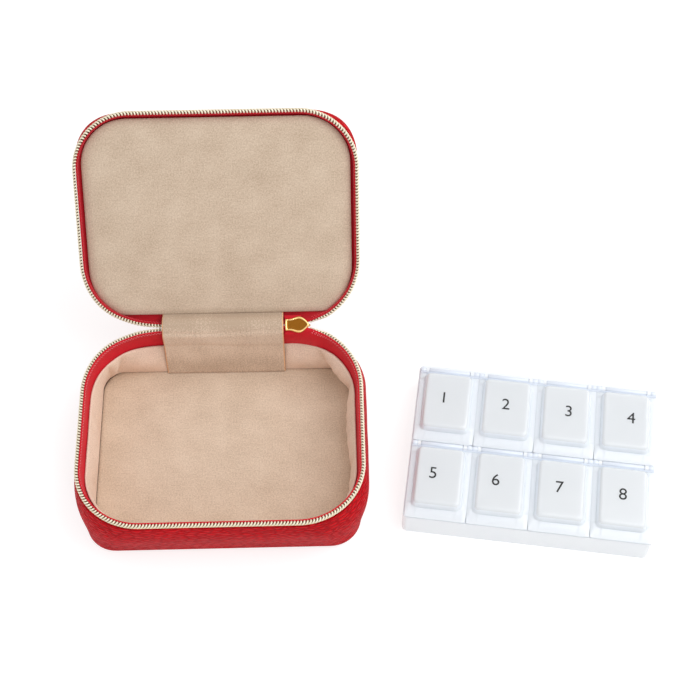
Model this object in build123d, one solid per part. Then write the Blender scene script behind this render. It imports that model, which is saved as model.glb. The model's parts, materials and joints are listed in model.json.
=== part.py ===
from build123d import *
import math
import os

# Travel pill box: a zip-around leather case, open, with a loose tray of eight lidded pill cells beside it.
# Millimetres. Origin at the centre of the case's underside, X along the case, Y to its hinge, Z up.
# An outline is written as (z, half width, half depth, front corner radius, rear corner radius).

# Zip line, where the two halves of the case meet
RIM_HALF_WIDTH = 62.7
RIM_HALF_DEPTH = 50.3
RIM_FRONT_RADIUS = 28.0
RIM_REAR_RADIUS = 32.0
COIL_HEIGHT = 2.3
COIL_THICKNESS = 2.0
TAPE_THICKNESS = 0.7
CLEARANCE = 0.1

# Hinge of the case lid, and how far the lid stands open
HINGE_Y = RIM_HALF_DEPTH - 0.5
HINGE_Z = 33.5
OPEN_ANGLE = 128.4
WIDEST_ANGLE = 140.0
HINGE_HALF_LENGTH = 28.0

# Leather shells, from the table up, and the lid as it lies when shut
LEATHER = 1.4
BASE_OUTSIDE = [
    (0.0, 59.8, 45.6, 12.0, 16.0),
    (2.2, 61.7, 47.5, 13.9, 18.0),
    (27.5, 64.1, 50.8, 28.5, 32.5),
]
LID_OUTSIDE = [
    (39.5, 64.1, 50.8, 28.5, 32.5),
    (43.2, 63.3, 49.8, 22.5, 27.0),
    (45.3, 61.1, 47.0, 14.5, 18.0),
]

# Boards and linings
GAP = 0.15
BOARD = 1.5
STIFFENER = 1.2
STIFFENER_TOP = 24.0
LINING = 0.9
WALL_LINING_TOP = 25.0
FLOOR_LINING = 1.2
TAPE_UNDER_LEATHER = 3.2
HINGE_LEATHER = 1.2
HINGE_KNEE_SHARE = 0.5
HINGE_LID_RUN = 1.5
HINGE_LINING = 0.8
HINGE_LINING_TOP = 31.0
HINGE_LINING_BEND = 22.0
LID_PANEL_OUTLINE = (60.1, 45.9, 24.0, 28.0)
LID_PANEL_BACK = HINGE_Y - 4.9
LID_PANEL_DEPTH = 2.4
LID_PANEL_THICKNESS = 2.0

# Zip slider, parked on the closed end of the chain at the right of the hinge
CHAIN_OFFSET = 0.5
CHAIN_HALF_WIDTH = 2.0
CHAIN_THICKNESS = 1.7
CHAIN_START = HINGE_HALF_LENGTH + 0.2
CHAIN_END = 36.2
CHAIN_TAPE_HALF_WIDTH = 4.7
CHAIN_TAPE_THICKNESS = 0.6
SLIDER_TAIL = 29.7
SLIDER_SHOULDER = 36.2
SLIDER_CHEEK = 39.0
SLIDER_TIP = 40.9
SLIDER_TAIL_HALF_WIDTH = 2.8
SLIDER_HALF_WIDTH = 3.6
SLIDER_CHEEK_HALF_WIDTH = 2.7
SLIDER_TIP_HALF_WIDTH = 0.7
SLIDER_CORNER = 0.5
SLIDER_PLATE = 1.0
SLIDER_HALF_GAP = 1.2
SLIDER_FLANGE = 0.7
SLIDER_FLANGE_INSIDE = 2.1
SLIDER_FLANGE_OUTSIDE = 2.7
SLIDER_FLANGE_START = 30.2
SLIDER_POST_TAIL = 36.9
SLIDER_POST_WIDEST = 38.5
SLIDER_POST_NOSE = 39.8
SLIDER_POST_HALF_WIDTH = 0.8
SLIDER_ROOM = 49.0
CROWN_X = 38.0
CROWN_HALF_LENGTH = 2.5
CROWN_LEG = 0.9
CROWN_HEIGHT = 2.5
CROWN_THICKNESS = 0.8
CROWN_WIDTH = 1.0
PULL_BAR_RADIUS = 0.5
PULL_LIMB = 0.7
PULL_NECK_HALF_WIDTH = 1.35
PULL_NECK_LENGTH = 6.5
PULL_WINDOW_LENGTH = 4.6
PULL_HALF_WIDTH = 3.1
PULL_CORNER = 1.6
PULL_LENGTH = 24.0
PULL_THICKNESS = 1.0

# Pill tray, where it lies beside the case
TRAY_PLACE = (140.3, -9.3)
TRAY_TURN = -8.6
TRAY_LENGTH = 110.6
TRAY_DEPTH = 79.0
TRAY_HEIGHT = 14.8
TRAY_WALL = 1.3
TRAY_CORNER = 2.6
TRAY_FOOT_RADIUS = 1.0
CELL_CORNER = 2.0
COLUMNS = 4
ROWS = 2

# Cell lids, each snapped on its own pair of lugs at the back of its cell
LID_AXIS_FROM_WALL = 1.7
LID_AXIS_Z = 15.5
LID_BARREL_RADIUS = 1.3
LID_PIN_RADIUS = 0.7
PIN_CLEARANCE = 0.05
LUG_RADIUS = 1.4
LUG_WIDTH = 1.6
LUG_OFFSET = 10.4
LUG_FOOT_Z = 9.0
LID_SIDE_GAP = 0.43
LID_PLATE = 1.2
LID_PLATE_BACK = 2.0
LID_LENGTH = 36.0
LID_CORNER = 2.0
DOME_BACK = 3.0
DOME_FRONT = 32.2
DOME_WIDTH = 23.0
DOME_HEIGHT = 3.2
DOME_DRAFT = 1.0
DOME_CORNER = 3.0
DOME_WALL = 1.1
DOME_EDGE = 0.7
CATCH_WIDTH = 9.0
CATCH_THICKNESS = 1.0
CATCH_DEPTH = 1.3
CATCH_CLEARANCE = 0.3


def outline(level):
    """A flat rounded outline at its height."""
    z, width, depth, front, rear = level
    edges = [
        Line((-width + front, -depth), (width - front, -depth)),
        CenterArc((width - front, -depth + front), front, 270, 90),
        Line((width, -depth + front), (width, depth - rear)),
        CenterArc((width - rear, depth - rear), rear, 0, 90),
        Line((width - rear, depth), (-width + rear, depth)),
        CenterArc((-width + rear, depth - rear), rear, 90, 90),
        Line((-width, depth - rear), (-width, -depth + front)),
        CenterArc((-width + front, -depth + front), front, 180, 90),
    ]
    return Pos(0, 0, z) * make_face(Curve() + edges)


def inset(level, amount):
    """The same outline drawn in by an amount all round."""
    z, *sizes = level
    return (z, *[size - amount for size in sizes])


def level_at(levels, z):
    """The outline of a stack of outlines at a height between them."""
    for lower, upper in zip(levels, levels[1:]):
        if lower[0] <= z <= upper[0]:
            share = (z - lower[0]) / (upper[0] - lower[0])
            return (z, *[a + (b - a) * share for a, b in zip(lower[1:], upper[1:])])
    raise ValueError(f"no outline at height {z}")


def between(levels, low, high):
    """The part of a stack of outlines from one height to another."""
    middle = [level for level in levels if low < level[0] < high]
    return [level_at(levels, low), *middle, level_at(levels, high)]


def solid(levels):
    """A solid through a stack of outlines."""
    return loft([outline(level) for level in levels], ruled=True)


def band(levels, thickness):
    """A wall of one thickness whose outside follows a stack of outlines."""
    return solid(levels) - solid([inset(level, thickness) for level in levels])


def plate(levels, low, high, amount):
    """A flat plate from one height to another, drawn in by an amount from a stack of outlines."""
    return solid([inset(level, amount) for level in between(levels, low, high)])


def block(x, y, z):
    """A box between two limits along each axis."""
    size = (x[1] - x[0], y[1] - y[0], z[1] - z[0])
    return Pos((x[0] + x[1]) / 2, (y[0] + y[1]) / 2, (z[0] + z[1]) / 2) * Box(*size)


def write(shape, name):
    """Saves one piece under its own name."""
    os.makedirs("parts", exist_ok=True)
    export_step(shape, f"parts/{name}.step")


def opened(shape):
    """Turns a piece of the shut lid about the hinge to where it stands open."""
    return shape.rotate(Axis((0, HINGE_Y, HINGE_Z), (1, 0, 0)), -OPEN_ANGLE)


def rim_level(z, outside):
    """The zip line's outline at a height, moved outwards by an amount."""
    rim = (z, RIM_HALF_WIDTH, RIM_HALF_DEPTH, RIM_FRONT_RADIUS, RIM_REAR_RADIUS)
    return inset(rim, -outside)


def rear_cut(left, right, low, high):
    """The stretch of the rear wall between two places along X and two heights."""
    return block((left, right), (0, 2 * RIM_HALF_DEPTH), (low, high))


def zip_cut(low, high):
    """What the zip leaves out at the back: the hinge, and the room that the slider runs in."""
    return rear_cut(-HINGE_HALF_LENGTH - CLEARANCE, SLIDER_ROOM, low, high)


def beyond_fold():
    """The side of the hinge that the lid's row of the zip leans into when the lid is wide open."""
    reach = 2 * RIM_HALF_WIDTH
    side = block((-reach, reach), (-CLEARANCE / 2, reach), (-reach, reach))
    return Pos(0, HINGE_Y, HINGE_Z) * Rot(X=90 - WIDEST_ANGLE / 2) * side


def hinge_cut(low, high):
    """What the hinge itself takes out of a rear wall."""
    return rear_cut(-HINGE_HALF_LENGTH - CLEARANCE, HINGE_HALF_LENGTH + CLEARANCE, low, high)


def make_base():
    """The lower half of the case: leather, boards, lining and its row of the zip."""
    under_leather = LEATHER + GAP
    under_stiffener = under_leather + STIFFENER + GAP
    board_z = LEATHER + GAP
    floor_z = board_z + BOARD + GAP
    leather_top = BASE_OUTSIDE[-1][0]
    coil_top = HINGE_Z - CLEARANCE / 2
    coil_bottom = coil_top - COIL_HEIGHT
    tape_bottom = leather_top - TAPE_UNDER_LEATHER

    write(band(BASE_OUTSIDE, LEATHER), "base_side_leather")
    write(plate(BASE_OUTSIDE, 0, LEATHER, under_leather), "base_bottom_leather")
    write(plate(BASE_OUTSIDE, board_z, board_z + BOARD, under_leather), "base_bottom_board")

    stiffener = [inset(level, under_leather) for level in between(BASE_OUTSIDE, floor_z, STIFFENER_TOP)]
    write(band(stiffener, STIFFENER), "base_wall_stiffener")

    lining = [inset(level, under_stiffener) for level in between(BASE_OUTSIDE, floor_z, WALL_LINING_TOP)]
    wall_lining = band(lining, LINING) - hinge_cut(0, HINGE_Z)
    write(wall_lining, "base_wall_lining")
    under_lining = under_stiffener + LINING + 2 * GAP
    write(plate(BASE_OUTSIDE, floor_z, floor_z + FLOOR_LINING, under_lining), "base_floor_lining")

    tape_levels = [
        inset(level_at(BASE_OUTSIDE, tape_bottom), under_leather),
        (leather_top + GAP, *inset(BASE_OUTSIDE[-1], under_leather)[1:]),
        rim_level(coil_bottom, TAPE_THICKNESS / 2),
    ]
    tape = band(tape_levels, TAPE_THICKNESS) - hinge_cut(0, HINGE_Z) - zip_cut(leather_top, HINGE_Z)
    write(tape - beyond_fold(), "base_zip_tape")

    coil_levels = [rim_level(z, COIL_THICKNESS / 2) for z in (coil_bottom, coil_top)]
    coil = band(coil_levels, COIL_THICKNESS) - zip_cut(0, HINGE_Z)
    write(coil - beyond_fold(), "base_zip_coil")


def make_lid():
    """The upper half of the case, made shut and turned open."""
    under_leather = LEATHER + GAP
    leather_edge = LID_OUTSIDE[0][0]
    top = LID_OUTSIDE[-1][0]
    coil_bottom = HINGE_Z + CLEARANCE / 2
    coil_top = coil_bottom + COIL_HEIGHT
    board_top = top - LEATHER - GAP
    high = 2 * top

    write(opened(band(LID_OUTSIDE, LEATHER)), "lid_side_leather")
    write(opened(plate(LID_OUTSIDE, top - LEATHER, top, under_leather)), "lid_top_leather")
    write(opened(plate(LID_OUTSIDE, board_top - BOARD, board_top, under_leather)), "lid_board")

    panel_face = outline((HINGE_Z + LID_PANEL_DEPTH, *LID_PANEL_OUTLINE))
    panel = extrude(panel_face, amount=LID_PANEL_THICKNESS, dir=(0, 0, 1))
    panel_shift = LID_PANEL_BACK - LID_PANEL_OUTLINE[1]
    write(opened(Pos(0, panel_shift, 0) * panel), "lid_lining_panel")

    tape_top = board_top - BOARD - GAP
    tape_levels = [
        rim_level(coil_top, TAPE_THICKNESS / 2),
        (leather_edge - GAP, *inset(LID_OUTSIDE[0], under_leather)[1:]),
        inset(level_at(LID_OUTSIDE, tape_top), under_leather),
    ]
    lid_beyond_fold = mirror(beyond_fold(), about=Plane.XY.offset(HINGE_Z))
    tape = band(tape_levels, TAPE_THICKNESS) - hinge_cut(0, high) - zip_cut(0, leather_edge)
    write(opened(tape - lid_beyond_fold), "lid_zip_tape")

    coil_levels = [rim_level(z, COIL_THICKNESS / 2) for z in (coil_bottom, coil_top)]
    coil = band(coil_levels, COIL_THICKNESS) - zip_cut(0, high)
    write(opened(coil - lid_beyond_fold), "lid_zip_coil")


def mirrored(point):
    """A (y, z) place on the base's side of the hinge, folded over to the open lid's side."""
    half = math.radians(OPEN_ANGLE / 2)
    outwards = (math.cos(half), -math.sin(half))
    across = (math.sin(half), math.cos(half))
    y, z = point[0] - HINGE_Y, point[1] - HINGE_Z
    out = y * outwards[0] + z * outwards[1]
    side = y * across[0] + z * across[1]
    return (
        HINGE_Y + out * outwards[0] - side * across[0],
        HINGE_Z + out * outwards[1] - side * across[1],
    )


def strip(points, heading, thickness, half_length):
    """A bent strip of sheet: straight runs up the base, a round bend, and the same down the open lid."""
    end = points[-1]
    lines = [Line(a, b) for a, b in zip(points, points[1:])]
    bend = TangentArc(end, mirrored(end), tangent=heading)
    lid_end = mirrored(points[-2])
    lid_start = mirrored(end)
    length = math.dist(lid_start, lid_end)
    short = [a + (b - a) * min(1.0, HINGE_LID_RUN / length) for a, b in zip(lid_start, lid_end)]
    run = lines + [bend, Line(lid_start, tuple(short))]
    face = make_face(offset(Wire(run), thickness / 2, side=Side.BOTH))
    return extrude(Plane.YZ * face, amount=half_length, both=True)


def make_hinge():
    """The leather outside the hinge and the lining strip inside it, both bent with the lid open."""
    leather_top = BASE_OUTSIDE[-1][0]
    leather_y = BASE_OUTSIDE[-1][2] - LEATHER / 2
    foot = (leather_y, leather_top + HINGE_LEATHER / 2 + GAP)
    axis = (HINGE_Y, HINGE_Z)
    knee = tuple(a + (b - a) * HINGE_KNEE_SHARE for a, b in zip(foot, axis))
    heading = (knee[0] - foot[0], knee[1] - foot[1])
    leather = strip([foot, knee], heading, HINGE_LEATHER, HINGE_HALF_LENGTH)
    write(leather, "hinge_leather")

    inside = LEATHER + GAP + STIFFENER + 2 * GAP + HINGE_LINING / 2
    floor_z = LEATHER + 3 * GAP + BOARD + FLOOR_LINING + HINGE_LINING / 2
    bottom = (level_at(BASE_OUTSIDE, floor_z)[2] - inside, floor_z)
    bend_y = level_at(BASE_OUTSIDE, HINGE_LINING_BEND)[2] - inside
    points = [bottom, (bend_y, HINGE_LINING_BEND), (bend_y, HINGE_LINING_TOP)]
    lining = strip(points, (0, 1), HINGE_LINING, HINGE_HALF_LENGTH)
    write(lining, "hinge_lining")


def on_chain(shape):
    """Places a piece made flat on the zip's closed end, which halves the angle of the open lid."""
    return Pos(0, HINGE_Y, HINGE_Z) * Rot(X=90 - OPEN_ANGLE / 2) * Pos(0, 0, -CHAIN_OFFSET) * shape


def make_zip_end():
    """The last closed stretch of the zip, between the hinge lining and the slider."""
    half = CHAIN_THICKNESS / 2
    chain = block((CHAIN_START, CHAIN_END), (-CHAIN_HALF_WIDTH, CHAIN_HALF_WIDTH), (-half, half))
    write(on_chain(chain), "zip_end_coil")
    tape_half = CHAIN_TAPE_THICKNESS / 2
    sides = [
        block((CHAIN_START, CHAIN_END), sorted((side * CHAIN_HALF_WIDTH, side * CHAIN_TAPE_HALF_WIDTH)),
              (-tape_half, tape_half))
        for side in (-1, 1)
    ]
    write(on_chain(Compound(children=sides)), "zip_end_tape")


def slider_plate(low, high):
    """One plate of the slider: a straight tail, shoulders and a pointed nose."""
    half = [
        (SLIDER_TAIL, SLIDER_TAIL_HALF_WIDTH),
        (SLIDER_SHOULDER, SLIDER_HALF_WIDTH),
        (SLIDER_CHEEK, SLIDER_CHEEK_HALF_WIDTH),
        (SLIDER_TIP, SLIDER_TIP_HALF_WIDTH),
    ]
    corners = half + [(x, -y) for x, y in reversed(half)]
    face = make_face(Polyline(*corners, close=True))
    face = fillet(face.vertices(), SLIDER_CORNER)
    return extrude(Pos(0, 0, low) * face, amount=high - low, dir=(0, 0, 1))


def make_slider():
    """The slider's two plates, side flanges, dividing post and crown, cast as one, and its pull."""
    outside = SLIDER_HALF_GAP + SLIDER_PLATE
    body = slider_plate(SLIDER_HALF_GAP, outside) + slider_plate(-outside, -SLIDER_HALF_GAP)
    flange_x = (SLIDER_FLANGE_START, SLIDER_SHOULDER)
    flange_y = (SLIDER_FLANGE_INSIDE, SLIDER_FLANGE_OUTSIDE)
    flange_z = (SLIDER_HALF_GAP - SLIDER_FLANGE, SLIDER_HALF_GAP)
    for side in (-1, 1):
        for face in (-1, 1):
            y = sorted(side * value for value in flange_y)
            z = sorted(face * value for value in flange_z)
            body += block(flange_x, y, z)
    post = make_face(Polyline(
        (SLIDER_POST_TAIL, 0),
        (SLIDER_POST_WIDEST, SLIDER_POST_HALF_WIDTH),
        (SLIDER_POST_NOSE, 0),
        (SLIDER_POST_WIDEST, -SLIDER_POST_HALF_WIDTH),
        close=True,
    ))
    body += extrude(Pos(0, 0, -SLIDER_HALF_GAP) * post, amount=2 * SLIDER_HALF_GAP, dir=(0, 0, 1))

    crown_z = (-outside - CROWN_HEIGHT, -outside)
    crown_x = (CROWN_X - CROWN_HALF_LENGTH, CROWN_X + CROWN_HALF_LENGTH)
    crown = block(crown_x, (-CROWN_WIDTH / 2, CROWN_WIDTH / 2), crown_z)
    window_x = (crown_x[0] + CROWN_LEG, crown_x[1] - CROWN_LEG)
    window = block(window_x, (-CROWN_WIDTH, CROWN_WIDTH), (crown_z[0] + CROWN_THICKNESS, -outside))
    body += crown - window
    write(on_chain(body), "slider_body")

    pivot_z = -outside - (CROWN_HEIGHT - CROWN_THICKNESS) / 2
    half = PULL_THICKNESS / 2
    neck_y = (-PULL_NECK_HALF_WIDTH, PULL_NECK_HALF_WIDTH)
    neck = block((-half, half), neck_y, (-PULL_NECK_LENGTH, 0))
    window_half = PULL_NECK_HALF_WIDTH - PULL_LIMB
    neck -= block((-half, half), (-window_half, window_half), (-PULL_WINDOW_LENGTH, PULL_BAR_RADIUS))
    bar = Rot(X=90) * Cylinder(PULL_BAR_RADIUS, 2 * PULL_NECK_HALF_WIDTH)
    tab_length = PULL_LENGTH - PULL_WINDOW_LENGTH - PULL_LIMB
    tab_face = RectangleRounded(2 * PULL_HALF_WIDTH, tab_length, PULL_CORNER)
    tab = extrude(Plane.YZ * tab_face, amount=half, both=True)
    pull = neck + bar + Pos(0, 0, tab_length / 2 - PULL_LENGTH) * tab
    write(on_chain(Pos(CROWN_X, 0, pivot_z) * pull), "slider_pull")


def on_tray(shape):
    """Places a piece made at the tray's own centre where the tray lies."""
    return Pos(*TRAY_PLACE, 0) * Rot(Z=TRAY_TURN) * shape


def make_pill_tray():
    """The tray of pill cells with its hinge lugs, and a lid for each cell."""
    cell_length = (TRAY_LENGTH - (COLUMNS + 1) * TRAY_WALL) / COLUMNS
    cell_depth = (TRAY_DEPTH - (ROWS + 1) * TRAY_WALL) / ROWS
    column_pitch = cell_length + TRAY_WALL
    row_pitch = cell_depth + TRAY_WALL
    tray = extrude(RectangleRounded(TRAY_LENGTH, TRAY_DEPTH, TRAY_CORNER), amount=TRAY_HEIGHT)
    tray = fillet(tray.faces().sort_by(Axis.Z)[0].edges(), TRAY_FOOT_RADIUS)
    cell = extrude(RectangleRounded(cell_length, cell_depth, CELL_CORNER), amount=TRAY_HEIGHT)
    centres = [
        ((column - (COLUMNS - 1) / 2) * column_pitch, ((ROWS - 1) / 2 - row) * row_pitch)
        for row in range(ROWS)
        for column in range(COLUMNS)
    ]
    for x, y in centres:
        tray -= Pos(x, y, TRAY_WALL) * cell
    lug = make_lug()
    lid = make_cell_lid(column_pitch, cell_depth)
    for number, (x, y) in enumerate(centres, start=1):
        axis_y = y + cell_depth / 2 - LID_AXIS_FROM_WALL
        for side in (-1, 1):
            tray += Pos(x + side * LUG_OFFSET, axis_y, LID_AXIS_Z) * lug
        write(on_tray(Pos(x, axis_y, LID_AXIS_Z) * lid), f"day_lid_{number}")
    write(on_tray(tray), "organizer_tray")


def make_lug():
    """A lug on the cell's rear wall with the hole that a lid's pin turns in, made at the hole's centre."""
    foot = LUG_FOOT_Z - LID_AXIS_Z
    wall_top = TRAY_HEIGHT - LID_AXIS_Z
    half = LUG_WIDTH / 2
    post = block((-half, half), (-LUG_RADIUS, LUG_RADIUS), (foot, 0))
    web = block((-half, half), (0, LID_AXIS_FROM_WALL), (foot, wall_top))
    head = Rot(Y=90) * Cylinder(LUG_RADIUS, LUG_WIDTH)
    hole = Rot(Y=90) * Cylinder(LID_PIN_RADIUS + PIN_CLEARANCE, 2 * LUG_WIDTH)
    return post + web + head - hole


def make_cell_lid(column_pitch, cell_depth):
    """A cell's lid, made at the middle of its pins: barrel, plate, hollow dome and snap catch."""
    half_plate = LID_PLATE / 2
    width = column_pitch - LID_SIDE_GAP
    barrel_half = LUG_OFFSET - LUG_WIDTH / 2 - 2 * CLEARANCE
    pin_half = LUG_OFFSET + LUG_WIDTH / 2

    plate_length = LID_LENGTH - LID_PLATE_BACK
    plate = extrude(RectangleRounded(width, plate_length, LID_CORNER), amount=LID_PLATE)
    lid = Pos(0, -LID_PLATE_BACK - plate_length / 2, -half_plate) * plate
    lid += block((-barrel_half, barrel_half), (-LID_PLATE_BACK - LID_CORNER, 0), (-half_plate, half_plate))
    lid += Rot(Y=90) * Cylinder(LID_BARREL_RADIUS, 2 * barrel_half)
    lid += Rot(Y=90) * Cylinder(LID_PIN_RADIUS, 2 * pin_half)

    dome_length = DOME_FRONT - DOME_BACK
    dome_y = -(DOME_FRONT + DOME_BACK) / 2
    dome = dome_loft(DOME_WIDTH, dome_length, DOME_HEIGHT, DOME_CORNER)
    dome = fillet(dome.faces().sort_by(Axis.Z)[-1].edges(), DOME_EDGE)
    lid += Pos(0, dome_y, half_plate) * dome
    hollow = dome_loft(DOME_WIDTH - 2 * DOME_WALL, dome_length - 2 * DOME_WALL,
                       DOME_HEIGHT + LID_PLATE - DOME_WALL, DOME_CORNER - DOME_WALL)
    lid -= Pos(0, dome_y, -half_plate) * hollow

    catch_front = LID_AXIS_FROM_WALL - cell_depth + CATCH_CLEARANCE
    catch_y = (catch_front, catch_front + CATCH_THICKNESS)
    lid += block((-CATCH_WIDTH / 2, CATCH_WIDTH / 2), catch_y, (-half_plate - CATCH_DEPTH, 0))
    return lid


def dome_loft(width, length, height, corner):
    """A low block with rounded corners whose sides lean in towards the top."""
    foot = RectangleRounded(width, length, corner)
    top = RectangleRounded(width - 2 * DOME_DRAFT, length - 2 * DOME_DRAFT, corner - DOME_DRAFT / 2)
    return loft([foot, Pos(0, 0, height) * top], ruled=True)


make_base()
make_lid()
make_hinge()
make_zip_end()
make_slider()
make_pill_tray()
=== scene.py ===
import json
import math

import bmesh
import bpy
import numpy as np
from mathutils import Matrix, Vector, noise


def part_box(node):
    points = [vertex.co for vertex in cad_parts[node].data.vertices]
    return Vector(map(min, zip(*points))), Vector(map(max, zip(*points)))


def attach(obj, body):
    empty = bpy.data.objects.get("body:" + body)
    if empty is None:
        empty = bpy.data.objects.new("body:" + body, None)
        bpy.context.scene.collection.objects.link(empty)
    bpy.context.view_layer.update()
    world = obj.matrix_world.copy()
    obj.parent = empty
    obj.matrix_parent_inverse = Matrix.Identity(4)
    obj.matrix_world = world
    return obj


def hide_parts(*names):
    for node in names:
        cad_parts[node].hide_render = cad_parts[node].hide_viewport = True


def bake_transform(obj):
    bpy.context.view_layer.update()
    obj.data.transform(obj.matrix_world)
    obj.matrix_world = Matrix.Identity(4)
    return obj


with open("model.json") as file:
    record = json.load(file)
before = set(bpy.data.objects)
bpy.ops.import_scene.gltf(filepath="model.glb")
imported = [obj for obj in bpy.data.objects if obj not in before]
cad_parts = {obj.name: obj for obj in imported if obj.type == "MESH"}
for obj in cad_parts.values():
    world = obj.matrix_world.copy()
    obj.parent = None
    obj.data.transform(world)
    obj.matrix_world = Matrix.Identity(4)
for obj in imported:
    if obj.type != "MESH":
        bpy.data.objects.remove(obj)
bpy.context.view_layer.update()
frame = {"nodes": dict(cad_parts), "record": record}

# Side leather of the lower half: a strip of pebbled red leather drawn round the board of the wall.
# Its upper edge is folded in behind the zip and its lower edge is rolled under the case.
MM = 0.001
ROUND_STEPS = 480
CORNER_STEPS = 24
leather_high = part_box("base_side_leather")[1] / MM
WALL_TOP = leather_high.z
WALL_TOP_OUTLINE = (leather_high.x, leather_high.y, leather_high.y, 28.5, 32.5)
WALL_FOOT = 2.2
WALL_FOOT_OUTLINE = (61.7, 47.5, 47.5, 13.9, 18.0)
LEATHER = 1.4
FOOT_ROLL = 2.0
FOOT_TURN_IN = 3.3
FOOT_TURN_IN_HEIGHTS = (LEATHER - 0.1, 0.15)
WALL_HEM_RISE = 2.9
WALL_BULGE = 1.5
HINGE_ZONE_DEPTH = (10.0, 32.0)
HINGE_ZONE_WIDTH = (44.0, 58.0)
RIGHT_SWELL = 0.8
RIGHT_SIDE = (45.0, 62.0)
WALL_ROWS = 16
WALL_LUMPS = (9.0, 0.16)


def paint(red, green, blue):
    """A colour as seen on screen, from 0 to 255, as the linear colour that a shader takes."""
    shares = [value / 255 for value in (red, green, blue)]
    return (*[s / 12.92 if s < 0.04045 else ((s + 0.055) / 1.055) ** 2.4 for s in shares], 1.0)


class Socket:
    """An output of a node in a material. Sums on it add Math nodes, and node adds any other node."""

    def __init__(self, tree, output=None):
        self.tree = tree
        self.output = output

    def node(self, kind, settings=None, sockets=None, output=0):
        made = self.tree.nodes.new("ShaderNode" + kind)
        for name, value in (settings or {}).items():
            if name == "stops":
                stops = made.color_ramp.elements
                for index, (place, colour) in enumerate(value):
                    stop = stops[index] if index < len(stops) else stops.new(place)
                    stop.position = place
                    stop.color = colour
            else:
                setattr(made, name, value)
        for name, value in (sockets or {}).items():
            if isinstance(value, Socket):
                self.tree.links.new(value.output, made.inputs[name])
            else:
                made.inputs[name].default_value = value
        return Socket(self.tree, made.outputs[output] if made.outputs else None)

    def math(self, operation, first, second):
        return self.node("Math", {"operation": operation}, {0: first, 1: second})

    def __add__(self, other):
        return self.math("ADD", self, other)

    def __radd__(self, other):
        return self.math("ADD", other, self)

    def __sub__(self, other):
        return self.math("SUBTRACT", self, other)

    def __rsub__(self, other):
        return self.math("SUBTRACT", other, self)

    def __mul__(self, other):
        return self.math("MULTIPLY", self, other)

    def __rmul__(self, other):
        return self.math("MULTIPLY", other, self)


def new_finish(name):
    """A material with an empty node tree, and the socket that its nodes start from."""
    made = bpy.data.materials.new(name)
    made.use_nodes = True
    made.node_tree.nodes.clear()
    return made, Socket(made.node_tree)


def coat(start, sockets):
    """Ends a material with its shader."""
    shader = start.node("BsdfPrincipled", {}, sockets)
    start.node("OutputMaterial", {}, {"Surface": shader})


def colour_between(start, share, dark, light):
    """The colour at a share of the way from one to another."""
    return start.node("Mix", {"data_type": "RGBA"}, {0: share, 6: dark, 7: light}, output=2)


def raised(start, height, strength, depth):
    """A normal with a relief of some depth in millimetres."""
    return start.node("Bump", {}, {"Strength": strength, "Distance": depth * MM, "Height": height})


def millimetres(start, stretch=(1, 1, 1)):
    """The surface's own map in millimetres, stretched along its two ways."""
    spot = start.node("UVMap", {"uv_map": "mm"})
    return start.node("VectorMath", {"operation": "MULTIPLY"}, {0: spot, 1: stretch})


def map_noise(start, spot, sockets, output=0):
    """Noise over a surface's own map."""
    return start.node("TexNoise", {"noise_dimensions": "2D"}, {"Vector": spot, **sockets}, output)


def make_red_leather():
    """Full-grain look: rounded pebbles with darker creases between them, and fine pores on top."""
    made, start = new_finish("red_leather")
    spot = millimetres(start, (0.22, 0.8, 1))
    drift = map_noise(start, spot, {"Scale": 0.55, "Detail": 2.0}, output=1)
    shaken = start.node("VectorMath", {"operation": "ADD"}, {0: spot, 1: drift})
    pebble = start.node("TexVoronoi", {"voronoi_dimensions": "2D", "feature": "SMOOTH_F1"},
                        {"Vector": shaken, "Scale": 0.95, "Smoothness": 0.45})
    crease = start.node("TexVoronoi", {"voronoi_dimensions": "2D", "feature": "DISTANCE_TO_EDGE"},
                        {"Vector": shaken, "Scale": 0.95})
    open_crease = start.node("MapRange", {"interpolation_type": "SMOOTHSTEP"},
                             {"Value": crease, "From Min": 0.0, "From Max": 0.32})
    pore = map_noise(start, spot, {"Scale": 5.0, "Detail": 3.0})
    patch = map_noise(start, spot, {"Scale": 0.12, "Detail": 2.0})
    shade = open_crease * 0.42 + patch * 0.3 + pore * 0.4
    height = open_crease * 0.7 - pebble * 0.6 + pore * 0.18
    coat(start, {
        "Base Color": colour_between(start, shade, paint(118, 0, 8), paint(228, 5, 23)),
        "Roughness": 0.56 - open_crease * 0.1 + pore * 0.08,
        "Specular IOR Level": 0.1,
        "Normal": raised(start, height, 1.0, 0.36),
    })
    return made


red_leather = make_red_leather()


def mixed(first, second, share):
    """Sizes at a share of the way between two lists of sizes."""
    return tuple(a + (b - a) * share for a, b in zip(first, second))


def girth(outline):
    """The length round an outline of half width, front and rear reach, and front and rear corner radius."""
    width, front, rear, front_radius, rear_radius = outline
    return 4 * width + 2 * (front + rear) - (4 - math.pi) * (front_radius + rear_radius)


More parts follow.
